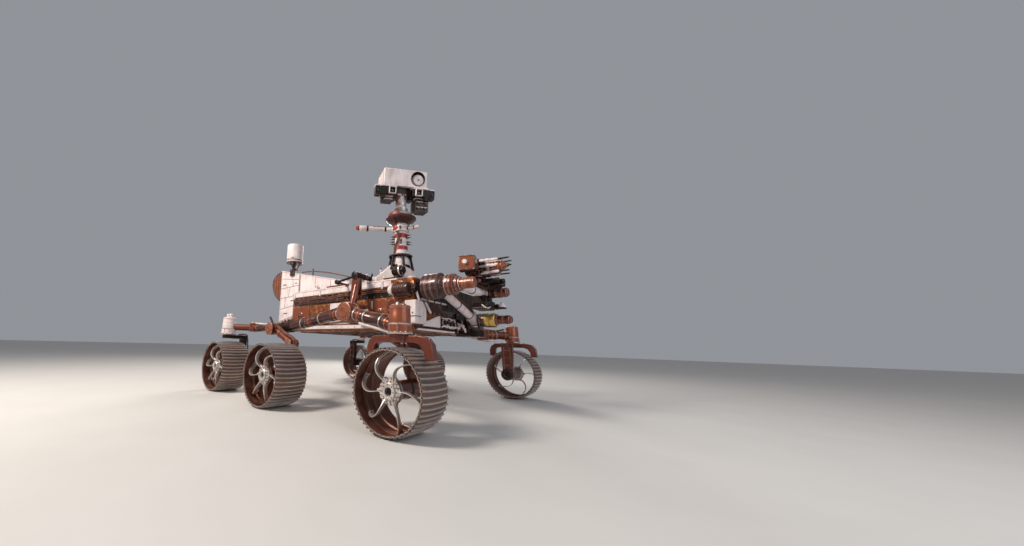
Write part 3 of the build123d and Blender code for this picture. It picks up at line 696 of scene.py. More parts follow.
# Wires down a steered leg: along from the wheel's middle, out from the rover's, and up
LEG_WIRES = [
    (20, 900, 300), (45, 895, 380), (40, 897, 500), (20, 895, 570), (10, 905, 605), (20, 960, 612),
    (45, 1020, 604),
]
for name, x, y, side in WHEELS:
    if name.startswith("middle"):
        add_drive(x, y, side, MIDDLE_LEG_Y)
        form.done(f"drive_{name}", umber)
        continue
    add_drive(x, y, side, CORNER_LEG_Y)
    form.done(f"drive_{name}", dark, f"steer_{name}")
    soften(f"knuckle_{name}", 6)
    add_arm_trim(x, side)
    form.done(f"arm_trim_{name}", orange, f"steer_{name}", bevel=1.2)
    form.path([(x + ahead, side * out, height) for ahead, out, height in LEG_WIRES], 7)
    form.done(f"arm_wires_{name}", sleeve, f"steer_{name}")
print("drives", len(WHEELS))

# %% [markdown]
# Over each arm stands the steering column, a casting with a flange at its foot and a cap with cable glands.
# A column is a turned part, so one profile does it; the rear ones are paler and carry two posts.

# %% Steering columns
COLUMN_FOOT = 601
COLUMN_SHAPE = [
    (70, 0), (78, 2), (80, 6), (80, 14), (76, 18), (70.5, 20),
    (69.5, 60), (72.5, 63), (72.5, 72), (69.5, 75), (69, 130), (67, 134),
    (66, 172), (68.5, 174), (68.5, 182), (62, 188), (46, 190), (44, 197),
    (26, 201),
]
ARCH_WIDTH = 56
# Arch over a front wheel, on its steered arm: place along, height
ARCH = [
    (-246, 454), (-250, 520), (-232, 570), (-190, 598), (150, 598), (205, 586),
    (240, 545), (254, 454), (196, 454), (186, 505), (160, 540), (125, 553),
    (-150, 553), (-184, 535), (-196, 454),
]
for name, x, y, side in WHEELS:
    if name.startswith("middle"):
        continue
    rear = name.startswith("rear")
    at = Vector((x, side * y, COLUMN_FOOT))
    form.lathe(COLUMN_SHAPE, move(at), count=64)
    for k in range(8):
        form.box((66, -4, 18), (75.5, 4, 62), move(at) @ turn(45 * k + 22, "Z"))
    if rear:
        for ahead in (-34, 30):
            post = move(at + Vector((ahead, 0, 180)))
            form.lathe([(16, 0), (16, 30), (19, 32), (19, 50), (14, 54)], post, count=24)
    form.done(f"column_{name}", white if rear else orange)
    form.band(move(at), 80.5, 84, 4, 14, 2)
    form.bolts(at + UP * 17, UP, 75.5, 14, 4, 4)
    form.lathe([(73, 64), (75, 66), (75, 70), (73, 71)], move(at), count=64, closed=False)
    form.bolts(at + UP * 188, UP, 55, 10, 3.6, 4)
    form.done(f"column_flange_{name}", hub_metal)
    if not rear:
        form.plate(ARCH, ARCH_WIDTH, move((x, side * y + ARCH_WIDTH / 2, 0)) @ UPRIGHT)
        for ahead in (-215, -120, 120, 215):
            height = 598 if abs(ahead) < 200 else 575
            form.lathe([(10, -20), (10, 5), (6, 7)], move((x + ahead, side * y, height)), 6)
        form.done(name.replace("front", "arch"), bronze, f"steer_{name}", bevel=8)
print("columns dressed")

# %% [markdown]
# The suspension's links are titanium tubes with cast joints: a large round pivot on the body, a pivot where
# rocker and bogie meet, and elbows. The frame's tubes stay. Sleeves, clamps, covers and wire bundles on
# them are lathed along the tube's own line, found from the two ends.

# %% Rocker and bogie trim
PIVOT = Vector((487, -850, 806))
KNEE = Vector((990, -850, 686.5))
FRONT_FOOT = Vector((1220, -1120, 686.5))
REAR_PIVOT = Vector((-480, -850, 668))
BOGIE_Y = -929.3
REAR_KNEE = Vector((-910, BOGIE_Y, 686.5))
MIDDLE_KNEE = Vector((-170, BOGIE_Y, 520))
MIDDLE_FOOT = Vector((0, -1037, 263))


def on_side(point, side):
    """The right side's point, or its mirror on the left."""
    return Vector((point[0], -side * point[1], point[2]))


def add_collars(start, end, radius, shares, width=18, rise=6):
    """Collars round a tube, at shares of its length."""
    along = (end - start).normalized()
    length = (end - start).length
    for share in shares:
        at = start + along * (share * length - width / 2)
        form.band(frame_to(at, along), radius, radius + rise, 0, width, 2, 40)


def add_sleeve(start, end, radius, from_share, to_share, flare=4):
    """A stepped sleeve over part of a tube."""
    along = (end - start).normalized()
    length = (end - start).length
    first = start + along * length * from_share
    reach = length * (to_share - from_share)
    shape = [(radius - 2, 0), (radius + flare, 3), (radius + flare, 22), (radius + flare * 0.4, 26),
        (radius + flare * 0.4, reach - 26), (radius + flare, reach - 22), (radius + flare, reach - 3),
        (radius - 2, reach)]
    form.lathe(shape, frame_to(first, along), closed=False)


def add_cover(at, direction, radius, height, bolts):
    """A round cover with a stepped face, a centre boss and bolts."""
    shape = [(radius, 0), (radius, height * 0.35), (radius * 0.95, height * 0.45),
        (radius * 0.8, height * 0.47), (radius * 0.77, height * 0.7), (radius * 0.55, height * 0.74),
        (radius * 0.52, height), (radius * 0.3, height), (radius * 0.27, height * 0.8),
        (radius * 0.1, height * 0.78)]
    form.lathe(shape, frame_to(at, direction), count=56)
    at = Vector(at) + Vector(direction).normalized() * height * 0.46
    form.bolts(at, direction, radius * 0.875, bolts, radius * 0.055, 4)


for side_name, side in SIDES:
    out = Vector((0, side, 0))
    pivot, knee, front_foot = on_side(PIVOT, side), on_side(KNEE, side), on_side(FRONT_FOOT, side)
    rear_pivot, rear_knee = on_side(REAR_PIVOT, side), on_side(REAR_KNEE, side)
    middle_knee, middle_foot = on_side(MIDDLE_KNEE, side), on_side(MIDDLE_FOOT, side)
    add_cover(pivot + out * 44, out, 84, 26, 14)
    add_cover(rear_pivot + out * 149, out, 64, 20, 10)
    add_cover(knee + UP * 56, UP, 57, 14, 8)
    add_cover(rear_knee + UP * 46, UP, 47, 12, 8)
    add_cover(middle_knee + out * 46, out, 47, 14, 8)
    add_collars(pivot, knee, 44, (0.3, 0.86))
    add_collars(knee, front_foot, 44, (0.26, 0.7))
    add_collars(pivot, rear_pivot, 44, (0.14, 0.5, 0.88))
    add_collars(rear_pivot + out * 79, rear_knee, 35, (0.25, 0.75))
    add_collars(rear_pivot + out * 79, middle_knee, 35, (0.35, 0.8))
    hub_ring = [(83, 0), (88, 3), (88, 20), (83, 24)]
    for reach in (606, 660, 780):
        form.lathe(hub_ring, frame_to((PIVOT.x, side * reach, PIVOT.z), out), count=56, closed=False)
    form.done(f"link_covers_{side_name}", orange)
    add_sleeve(pivot, knee, 45.5, 0.34, 0.82)
    add_sleeve(pivot, rear_pivot, 45.5, 0.18, 0.46)
    add_sleeve(pivot, rear_pivot, 45.5, 0.54, 0.84)
    add_sleeve(rear_pivot + out * 79, rear_knee, 36.5, 0.28, 0.72)
    form.done(f"link_sleeves_{side_name}", umber)
    lower = UP * -62
    strut_start = pivot.lerp(knee, 0.28) + lower
    strut_end = knee.lerp(front_foot, 0.45) + lower
    route = [strut_start, pivot.lerp(knee, 0.6) + lower, knee + lower - out * 8, strut_end]
    form.path(route, 14, count=16)
    form.path([rear_pivot + Vector((-30, side * 50, 52)),
        rear_pivot.lerp(rear_knee, 0.5) + Vector((0, side * 40, 46)), rear_knee + Vector((30, 0, 50))], 9,
        count=12)
    form.done(f"link_struts_{side_name}", white)
    for shift, drop in ((0, 52), (17, 47), (-17, 49)):
        lift = Vector((0, shift, drop))
        route = [pivot + Vector((-30, side * -40, 85)), pivot.lerp(knee, 0.25) + lift,
            pivot.lerp(knee, 0.6) + lift, knee + lift + Vector((-20, 0, 22)),
            knee.lerp(front_foot, 0.4) + lift, knee.lerp(front_foot, 0.72) + lift + UP * 20]
        form.path(route, 6.2)
        route = [pivot + Vector((-50, side * -30, 70)), pivot.lerp(rear_pivot, 0.3) + lift,
            pivot.lerp(rear_pivot, 0.7) + lift, rear_pivot + lift + Vector((40, side * 30, 12)),
            rear_pivot + Vector((-60, side * 90 + shift, 55))]
        form.path(route, 6.2)
        route = [rear_pivot + Vector((50, side * 85 + shift, 30)),
            rear_pivot.lerp(middle_knee, 0.5) + Vector((20, side * 40 + shift, 38)),
            middle_knee + Vector((50, side * 10 + shift, 35)),
            middle_knee.lerp(middle_foot, 0.6) + Vector((38, shift, 12))]
        form.path(route, 5)
    form.done(f"link_wires_{side_name}", sleeve)
    for start, end, reach, shares in ((pivot, knee, 52, (0.2, 0.42, 0.75)), (knee, front_foot, 52, (0.4,)),
            (pivot, rear_pivot, 52, (0.1, 0.35, 0.62, 0.9))):
        along = (end - start).normalized()
        for share in shares:
            at = start + (end - start) * share - along * 6
            form.band(frame_to(at, along), 46, reach, 0, 12, count=36)
            form.box((-26, -8, 44), (26, 8, 60), move(at))
    form.done(f"link_clamps_{side_name}", steel, bevel=1)
    along = (rear_pivot - pivot).normalized()
    add_sleeve(pivot, rear_pivot, 52, 0.8, 0.97, 7)
    for share in (0.83, 0.89, 0.94):
        at = pivot.lerp(rear_pivot, share)
        form.box((-14, -34, 40), (14, 34, 76), move(at))
        form.stud(frame_to(at + out * 58, out), 10, 12, 7, 14, 6)
    form.tube(rear_pivot + out * 100 + UP * 40, rear_pivot + out * 100 + Vector((-75, 0, 125)), 11, count=16)
    form.done(f"link_joints_{side_name}", dark, bevel=3)
    for share in (0.82, 0.875, 0.93):
        at = pivot.lerp(rear_pivot, share) + UP * 78 + out * 18
        ring = [(12, 0), (19, 1), (19, 9), (12, 10), (12, 0)]
        form.lathe(ring, frame_to(at, (along + out).normalized()), count=28, closed=False)
    form.done(f"link_rings_{side_name}", white)
print("links dressed")

# %% [markdown]
# The body is a closed box faced with thin panels. A table gives each panel's wall, its span along the wall,
# its heights and its finish; a loop sets them a few millimetres proud and rivets their edges. One material
# with drawn seams would be lighter, but real panels catch the light on their edges and cast a line of
# shadow between them.

# %% Body panels
# Walls: X along the wall, Y up and Z out of it
WALLS = {
    "right": move((0, -600, 0)) @ UPRIGHT,
    "left": move((0, 600, 0)) @ turn(180, "Z") @ UPRIGHT,
    "front": move((990, 0, 0)) @ turn(90, "Z") @ UPRIGHT,
    "back": move((-650, 0, 0)) @ turn(-90, "Z") @ UPRIGHT,
}
# Panels: wall, start and end along it, low and high, finish
# The sides' upper row, from 950 to 1036 under the deck's white rim, is dark and umber: painted shade under
# the rim.
SIDE_PANELS = [
    (-640, 760, 1046, 1096, white), (-630, 970, 682, 716, white),
    (-630, -270, 950, 1036, umber), (-260, 220, 950, 1036, dark), (230, 760, 950, 1036, dark),
    (-630, -350, 726, 940, orange), (-340, -20, 726, 940, brown_foil),
    (-10, 280, 726, 940, white), (290, 540, 726, 940, brown_foil),
    (550, 720, 726, 940, orange), (730, 880, 726, 930, bronze),
]
PANELS = [("right", *row) for row in SIDE_PANELS] + [("left", -b, -a, *rest) for a, b, *rest in SIDE_PANELS]
PANELS += [
    ("front", -470, 110, 815, 915, umber), ("front", -160, 110, 704, 808, umber),
    # The dark panel high on the front, from 935 to 1085, is painted shade under the deck's edge.
    ("front", -560, -100, 935, 1085, dark), ("front", -90, 400, 935, 1085, brown_foil),
    ("front", 120, 560, 870, 925, umber), ("front", 390, 560, 700, 860, white),
    ("back", -560, -290, 700, 1080, brown_foil), ("back", 290, 560, 700, 1080, brown_foil),
    ("back", -280, 280, 690, 800, umber),
]
meshes = {}
rivets = Form()
for wall, start, end, low, high, finish in PANELS:
    panels = meshes.setdefault(finish.name, (Form(), finish))[0]
    panels.box((start, low, -1), (end, high, 5), WALLS[wall])
    across = max(2, round((end - start) / 90) + 1)
    for k in range(across):
        for height in (low + 12, high - 12):
            at = (start + 14 + (end - start - 28) * k / (across - 1), height, 5)
            rivets.stud(WALLS[wall] @ move(at), 4.2, 2, 2.5, 3.2)
for name, (panels, finish) in meshes.items():
    panels.done(f"panels_{name}", finish, bevel=2)
rivets.done("panel_rivets", steel)

# Bright strip, ribs, trunking and cables of the two sides
strips, trunks, cables, covers = Form(), Form(), Form(), Form()
for wall, way in (("right", 1), ("left", -1)):
    place = WALLS[wall] @ Matrix.Diagonal((way, 1, 1, 1))
    strips.box((824, 740, 4), (850, 900, 18), place)
    strips.box((545, 735, 4), (560, 930, 12), place)
    for x in (-620, -180, 300, 660):
        strips.box((x, 1030, 4), (x + 18, 1098, 14), place)
    trunks.box((-550, 958, 4), (200, 984, 24), place)
    for k in range(5):
        trunks.box((-500 + 150 * k, 952, 3), (-488 + 150 * k, 990, 28), place)
    for z, bow in ((998, 10), (1012, 14), (745, 16)):
        route = [place @ Vector((-600 + 195 * k, z + 6 * (-1) ** k, bow)) for k in range(8)]
        cables.path(route, 6.2)
    for x, z, size in ((-500, 830, 50), (130, 840, 60), (420, 830, 45), (640, 820, 40)):
        disc = [(size, 4), (size, 12), (size - 6, 16), (size * 0.45, 16), (size * 0.4, 22)]
        covers.lathe(disc, place @ move((x, z, 0)), 40)
        for k in range(8):
            across, above = polar(size * 0.72, 45 * k)
            covers.stud(place @ move((x + across, z + above, 15)), 4, 4, 3, 5, 6)
strips.done("side_strips", white, bevel=2)
trunks.done("side_trunks", umber, bevel=2)
cables.done("side_cables", sleeve)
covers.done("side_covers", bronze)

# Belly pan with crossing ribs and a drain cover
for x in (-580, -300, -20, 260, 540, 820):
    form.box((x, -520, 650), (x + 20, 520, 662))
for y in (-450, -160, 140, 430):
    form.box((-600, y, 653), (940, y + 20, 662))
form.lathe([(90, 646), (90, 662)], move((120, 0, 0)))
form.bolts((120, 0, 646), -UP, 78, 12, 6, 5)
form.done("belly_ribs", umber, bevel=3)
print("panels", len(PANELS))

# %% [markdown]
# The deck is tiled with pale covers and carries small instruments, connectors and cable runs. They stay low
# near the steerable dish, which sweeps just above them.

# %% Deck
DECK_Z = 1112
# Covers: low corner, high corner in plan, height, finish
COVERS = [
    (-620, -360, -320, -20, 8, white), (-620, 20, -320, 440, 10, white),
    (-260, -360, 60, 20, 8, white), (100, -360, 400, 20, 12, white),
    (100, 300, 400, 540, 10, white), (560, -300, 940, -20, 10, white),
    (560, 40, 940, 300, 12, white), (600, 340, 900, 540, 16, umber),
    (-500, -300, -360, -180, 55, steel), (-160, -300, -20, -100, 34, gold),
    (160, -300, 300, -140, 45, white), (160, 340, 340, 460, 50, orange),
    (700, 380, 840, 500, 55, dark), (620, 100, 780, 220, 40, steel),
    (-560, 160, -400, 340, 30, steel), (460, -565, 560, -500, 50, white),
]
bolts = Form()
for index, (x0, y0, x1, y1, tall, finish) in enumerate(COVERS):
    form.box((x0, y0, DECK_Z - 1), (x1, y1, DECK_Z + tall))
    if tall > 25:
        for k in range(4):
            x = x0 + (x1 - x0) * (0.14 + 0.2 * k)
            form.box((x, y0 - 3, DECK_Z), (x + 8, y1 + 3, DECK_Z + tall + 4))
    form.done(f"deck_cover_{index}", finish, bevel=3)
    for x in (x0 + 15, (x0 + x1) / 2, x1 - 15):
        for y in (y0 + 15, y1 - 15):
            bolts.stud(move((x, y, DECK_Z + tall)), 6, 4, 4, 5, 6)
bolts.done("deck_bolts", steel)

for x, y, tall, radius in ((600, -545, 115, 10), (535, -470, 60, 13), (660, -560, 40, 18), (300, 180, 35, 30),
        (860, 0, 55, 24), (-300, -460, 40, 22)):
    foot = move((x, y, DECK_Z))
    form.lathe([(radius * 1.7, 0), (radius * 1.7, 6), (radius, 10), (radius, tall - 20),
        (radius * 1.3, tall - 16), (radius * 1.3, tall - 4), (radius * 0.9, tall)], foot, 24)
form.done("deck_posts", white)
for x, y, tall, radius in ((505, -560, 85, 9), (575, -500, 50, 20), (645, -500, 45, 16), (600, -545, 130, 7)):
    foot = move((x, y, DECK_Z))
    form.lathe([(radius * 0.6, 0), (radius * 0.6, tall * 0.5), (radius, tall * 0.55), (radius, tall * 0.9),
        (radius * 0.7, tall)], foot, 20)
form.box((660, -588, 1100), (800, -560, 1128))
form.done("deck_knobs", dark)
for k in range(4):
    y = -385 - 14 * k
    form.path([(-620, y, 1120), (-400, y - 10, 1124), (-100, y + 8, 1120), (200, y - 6, 1125), (420, y, 1120),
        (520, y + 20, 1124)], 6)
for k in range(3):
    x = 435 + 14 * k
    form.path([(x, -340, 1120), (x + 8, -160, 1124), (x - 4, 200, 1120), (x, 500, 1124)], 6)
form.path([(-600, -535, 1360), (-400, -540, 1345), (-150, -540, 1300), (100, -545, 1235), (300, -560, 1175),
    (440, -600, 1135)], 6.5)
form.done("deck_cables", sleeve)

# %% Differential
BAR_X, BAR_Z = PIVOT.x, 1150  # the differential bar, across the deck over the rockers' pivots
ROD_Y = 745  # the rods from its ends down to the rockers
middle = move((BAR_X, 0, 0))
form.lathe([(75, 1112), (75, 1122), (55, 1126), (55, 1178), (48, 1184), (20, 1186)], middle)
form.bolts((BAR_X, 0, 1122), UP, 65, 10, 6, 6)
for side in (-1, 1):
    for reach in (160, 400, 620):
        ends = sorted((side * reach, side * (reach + 30)))
        form.tube((BAR_X, ends[0], BAR_Z), (BAR_X, ends[1], BAR_Z), 29)
form.done("differential_trim", umber)
brackets, rods = Form(), Form()
for side in (-1, 1):
    for edge in (-30, 18):
        y = side * ROD_Y + edge
        place = move((BAR_X, y + 12, 0)) @ UPRIGHT
        brackets.plate([(-52, 930), (40, 930), (34, 1100), (26, 1150), (-20, 1155), (-38, 1100)], 12, place)
    end = Vector((BAR_X, side * ROD_Y, BAR_Z))
    rods.lathe([(20, -46), (36, -40), (36, 40), (20, 46)], frame_to(end - UP * 5, (0, 1, 0)), 32)
    joint = Vector((225, side * 735, 1118))
    rods.tube(end, joint, 11, count=20)
    rods.lathe([(12, -24), (24, -18), (24, 18), (12, 24)], frame_to(joint, (0, 1, 0)), 24)
    brackets.tube((225, side * 600, 1110), (225, side * 735, 1116), 12, count=20)
brackets.pair((450, 715, 930), (522, 775, 965))
brackets.pair((205, 590, 1095), (245, 610, 1125))
brackets.done("link_brackets", bronze, bevel=3)
rods.done("link_rods", dark)
print("deck dressed")

# %% [markdown]
# At the rear a finned power source hangs out behind two upright heat panels. Its fins carry copper tubes
# round their edges, and the panels' inner faces carry the loop that takes the heat away. The tubes are
# paths through a few corner points, which is shorter than a swept curve object and keeps them as plain
# meshes.

# %% Power source
POWER = move((0, 0, 1150))
backward = POWER @ frame_to((-1060, 0, 0), -AHEAD)
form.lathe([(120, 0), (128, 4), (128, 30), (122, 36), (122, 470), (128, 476), (128, 500), (112, 522),
    (80, 530), (78, 539), (30, 540)], backward, 64)
for k in range(8):
    fin = POWER @ turn(45 * (k + 0.5), "X") @ move((0, 4, 0)) @ UPRIGHT
    form.plate([(-1540, 115), (-1084, 115), (-1084, 182), (-1098, 196), (-1524, 196), (-1540, 180)], 8, fin)
form.done("power_core", white, replaces="generator", bevel=2)
for k in range(8):
    fin = POWER @ turn(45 * (k + 0.5), "X")
    corners = ((-1536, 126), (-1538, 178), (-1522, 194), (-1300, 194.5), (-1100, 194), (-1086, 180),
        (-1088, 126))
    form.path([fin @ Vector((x, 0, r)) for x, r in corners], 5.2, smooth=3)
for x in (-1120, -1300, -1480):
    form.band(POWER @ frame_to((x, 0, 0), -AHEAD), 121, 126, 0, 14)
form.bolts((-1588, 0, 1150), -AHEAD, 93, 12, 6, 6)
form.done("power_tubes", orange)
for side in (-1, 1):
    form.path([(-1090, side * 50, 1030), (-1000, side * 120, 1000), (-860, side * 220, 960),
        (-740, side * 340, 930), (-660, side * 470, 930)], 12)
    form.tube((-1050, side * 100, 1070), (-690, side * 220, 860), 13, count=20)
    form.tube((-1050, side * 90, 1220), (-650, side * 240, 1070), 11, count=20)
for x in (-980, -880, -780):
    form.box((x, -75, 996), (x + 16, 75, 1096))
form.pair((-700, 210, 830), (-688, 270, 1090))
form.done("power_struts", steel, bevel=2)

# %% Heat panels and side covers
RIM_LINE = [(-1022, 794), (-658, 870), (-658, 1342), (-1022, 1428)]
seams, edges, loops, studs, bands = (Form() for _ in range(5))
for side in (-1, 1):
    outer, inner = side * 526, side * 500
    for start, end in zip(RIM_LINE, RIM_LINE[1:] + RIM_LINE[:1]):
        edges.tube((start[0], outer, start[1]), (end[0], outer, end[1]), 6.5, count=8)
        for k in range(8):
            x = start[0] + (end[0] - start[0]) * (k + 0.5) / 8
            z = start[1] + (end[1] - start[1]) * (k + 0.5) / 8
            studs.stud(frame_to((x * 0.985 - 12.6, outer, z), (0, side, 0)), 7, 3, 4, 5)
    # Seams: ends in x and z, as blankets are taped
    for x0, z0, x1, z1 in ((-1020, 940, -660, 985), (-1020, 1080, -800, 1085), (-800, 1085, -660, 1120),
            (-1020, 1200, -660, 1215), (-1020, 1330, -660, 1285), (-860, 1085, -840, 1210),
            (-930, 955, -920, 1080), (-770, 1210, -790, 1305), (-740, 975, -730, 1105)):
        seams.tube((x0, outer, z0), (x1, outer, z1), 2.8, count=6)
    for x, z, wide in ((-950, 1240, 60), (-780, 1030, 50), (-900, 880, 70), (-720, 1240, 30)):
        seams.box((x - wide / 2, outer - 3, z), (x + wide / 2, outer + 3, z + 10))
    route = []
    for k in range(7):
        z = 900 + 75 * k
        ends = (-990, -690) if k % 2 else (-690, -990)
        route += [(ends[0], inner, z), ((ends[0] + ends[1]) / 2, inner, z), (ends[1], inner, z)]
    loops.path(route, 7.5, smooth=3)
    bands.box((-668, outer - 4, 872), (-640, outer + 4, 1335))
    # Side cover: rim, tape and bolts
    cover_line = [(-632, 1120), (172, 1120), (172, 1163), (-632, 1341)]
    for start, end in zip(cover_line, cover_line[1:] + cover_line[:1]):
        edges.tube((start[0], outer, start[1]), (end[0], outer, end[1]), 5.5, count=8)
    for k in range(10):
        x = -600 + 82 * k
        studs.stud(frame_to((x, outer, 1132), (0, side, 0)), 6, 3, 4, 4)
    seams.tube((-350, outer, 1122), (-360, outer, 1275), 2.5, count=6)
    seams.tube((-100, outer, 1122), (-110, outer, 1222), 2.5, count=6)
    bands.box((-160, outer - 4, 1124), (100, outer + 5, 1146))
seams.done("panel_seams", dark)
edges.done("panel_edges", white)
studs.done("panel_studs", steel)
bands.done("panel_bands", bronze, bevel=2)
loops.done("panel_loops", orange)

# Curved guards behind the heat panels
GUARD = [(-1020, 1050), (-1085, 1072), (-1165, 1130), (-1222, 1215), (-1236, 1300), (-1205, 1362),
    (-1130, 1408), (-1020, 1424)]
ribs = Form()
for side in (-1, 1):
    form.plate(GUARD, 14, move((0, side * 512 + 7, 0)) @ UPRIGHT)
    for low, high in zip(GUARD, GUARD[1:]):
        ribs.tube((low[0], side * 512, low[1]), (high[0], side * 512, high[1]), 11.5, count=10)
    for x, z, end_z in ((-1070, 1080, 1412), (-1130, 1110, 1400), (-1180, 1160, 1375)):
        ribs.tube((x, side * 519, z), (x, side * 519, end_z), 5, count=8)
form.done("panel_guards", orange, bevel=3)
ribs.done("panel_guard_rims", umber)

# %% Rear antennas
CAN = move((-794, -513, 1500))
form.lathe([(88, 10), (98, 14), (98, 222), (95, 230), (86, 234.5), (30, 235)], CAN, 64)
form.done("can_shell", white, replaces="relay_antenna")
form.lathe([(60, -4), (100, 0), (100, 13), (90, 16)], CAN, 64)
form.band(CAN, 98.5, 99.6, 30, 41)
form.lathe([(26, -92), (26, -60), (18, -55), (18, -4)], CAN, 24)
for k in range(3):
    angle = radians(120 * k + 40)
    top = CAN @ Vector((70 * cos(angle), 70 * sin(angle), 0))
    low = CAN @ Vector((26 * cos(angle), 12 * sin(angle), -90))
    form.tube(low, top, 6, count=12)
form.box((-834, -546, 1412), (-754, -482, 1424))
form.box((-834, -546, 1340), (-754, -527.5, 1424))
form.bolts((-794, -546, 1372), (0, -1, 0), 24, 4, 6, 5)
form.done("can_mount", umber, bevel=2)
for start in (225, 300):
    for k in range(5):
        at = CAN @ turn(start + 4 * k, "Z")
        form.box((94, -5, 50), (99.5, 5, 60), at)
form.done("can_slots", dark)
form.lathe([(22, 0), (22, 10), (14, 14), (14, 28), (7, 34), (6, 300), (7.5, 301), (7.5, 307.5)],
    move((-540, -420, 1112)), 24)
form.done("rod", dark, replaces="rod_antenna")

# %% Steerable dish
DISH = move((-100, 350, 0))
form.lathe([(38, 1112), (40, 1116), (40, 1124), (36, 1128), (36, 1140), (39, 1144), (39, 1151.5),
    (20, 1151.8)], DISH)
form.done("dish_foot", steel, replaces="dish_base")
soften("dish_yoke", 2)
form.plate([polar(139, 60 * k) for k in range(6)], 10, DISH @ move((0, 0, 1284)))
for row in range(-3, 4):
    for column in range(-3, 4):
        x, y = 33 * column + 16.5 * (row % 2), 30 * row
        if abs(y) < 105 and abs(x) + abs(y) * 0.58 < 118:
            form.box((x - 12, y - 11, 1292), (x + 12, y + 11, 1299), DISH)
form.done("dish_face", white, "dish_tilt", bevel=1.5)
for k in range(6):
    one, two = (DISH @ turn(60 * j, "Z") @ Vector((136, 0, 1293)) for j in (k, k + 1))
    form.tube(one, two, 6, count=10)
    form.tube(DISH @ Vector((0, 0, 1283)), one - UP * 6, 5, count=8)
form.done("dish_rim", steel, "dish_tilt")
print("rear dressed")

# %% [markdown]
# The mast rises from a sloping drive housing and carries the wind booms, the pan drive and the head. Its
# tube is made of collars and bands in different paints, so one table gives each band's height, radii and
# finish, and a loop lathes them. Colour by height in one material would be shorter, but separate bands have
# real edges.

# %% Mast
MAST = Vector((780, -490, 0))
# Bands: finish, then (radius, height) pairs
BANDS = [
    (white, [(84, 1246), (84, 1258), (79, 1262), (77, 1300), (68, 1318), (62, 1324)]),
    (dark, [(86, 1200), (90, 1206), (90, 1240), (84, 1246)]),
    (dark, [(64, 1322), (106, 1325), (108, 1330), (106, 1336), (66, 1338)]),
    (white, [(62, 1338), (66, 1342), (66, 1352), (58, 1356), (56, 1386), (60, 1390)]),
    (red, [(57, 1389), (64, 1392), (64, 1420), (57, 1424)]),
    (white, [(53, 1423), (53, 1455), (57, 1457), (57, 1463), (53, 1465), (53, 1500)]),
    (red, [(52, 1499), (55.5, 1501), (55.5, 1540), (52, 1542)]),
    (white, [(53, 1541), (56, 1545), (56, 1553), (53, 1556), (53, 1562)]),
    (white, [(55, 1612), (60, 1615), (60, 1630), (55, 1640)]),
    (umber, [(70, 1637), (86, 1640), (100, 1652), (122, 1664), (138, 1680), (140, 1690), (136, 1695),
        (95, 1697)]),
    (dark, [(88, 1695), (91, 1698), (91, 1712), (87, 1716)]),
    (steel, [(87, 1715), (89, 1718), (89, 1734), (85, 1738.5), (30, 1739.5)]),
]
for index, (finish, profile) in enumerate(BANDS):
    form.lathe(profile, move(MAST), count=64)
    form.done(f"mast_band_{index}", finish, replaces="mast" if index == 0 else "")

form.tube(MAST + UP * 1240, MAST + UP * 1738, 51.5, count=48)
form.done("mast_tube", umber)

for height in (1448, 1470, 1505, 1528):
    for k in range(4):
        out = turn(90 * k + (18 if height > 1490 else 38), "Z") @ AHEAD
        root = MAST + UP * height + out * 50
        form.tube(root, root + out * 30, 6.5, count=12)
        form.tube(root + out * 30, root + out * 50, 3.5, 2.5, count=8)
        form.stud(frame_to(root + out * 8, out), 10, 6, 6, 8, 16)
form.done("mast_studs", dark)

for k in range(6):
    spin = turn(60 * k + 20, "Z")
    out = spin @ AHEAD
    low = MAST + UP * 1205 + out * 112
    high = MAST + UP * 1326 + out * 88
    form.tube(low, high, 11.5, count=12)
    form.lathe([(13, 0), (15, 4), (15, 16), (12, 20)], frame_to(low - UP * 8, high - low), 20)
    form.box((70, -10, 1196), (118, 10, 1210), move(MAST) @ spin)
form.bolts(MAST + UP * 1336, UP, 95, 16, 5, 5)
form.bolts(MAST + UP * 1696, UP, 124, 14, 5, 5)
form.done("mast_struts", dark)

# Two lobes on the pan drive's disc, red to the left of the picture and white to the right
for name, finish, start, sweep in (("lobe_red", red, 175, 120), ("lobe_white", white, 20, 95)):
    outline = [polar(118, start + sweep * k / 12) for k in range(13)]
    outline += [polar(88, start + sweep * k / 12) for k in range(12, -1, -1)]
    form.plate(outline, 34, move(MAST + UP * 1697))
    form.done(name, finish, bevel=4)
print("mast bands", len(BANDS))

# %% [markdown]
# The drive housing under the mast is a sloping wedge of riveted panels, and cables climb from it up the
# mast.

# %% Mast housing
wedge = move((MAST.x, -405, 0)) @ UPRIGHT
form.plate([(-228, 1112), (108, 1112), (108, 1198), (60, 1246), (-60, 1246), (-228, 1150)], 170, wedge)
form.done("mast_housing", white, replaces="mast_base", bevel=6)
cheek = move((MAST.x, -576, 0)) @ UPRIGHT
form.plate([(-205, 1120), (90, 1120), (90, 1182), (50, 1224), (-56, 1224), (-205, 1143)], 5, cheek)
slope = move((636, -490, 1200.5)) @ turn(-29.7, "Y")
form.box((-80, -70, -2), (72, 70, 5), slope)
form.done("mast_housing_panels", steel, bevel=1.5)
for x, z in ((590, 1130), (640, 1130), (700, 1130), (760, 1130), (820, 1130), (862, 1130), (862, 1170),
        (826, 1212), (770, 1215), (735, 1213), (680, 1180), (630, 1152)):
    form.stud(frame_to((x, -581, z), (0, -1, 0)), 4.5, 3, 3, 4)
for along in (-70, -35, 0, 35, 62):
    for across in (-62, 62):
        form.stud(slope @ move((along, across, 5)), 4.5, 3, 3, 4)
form.done("mast_housing_rivets", hub_metal)
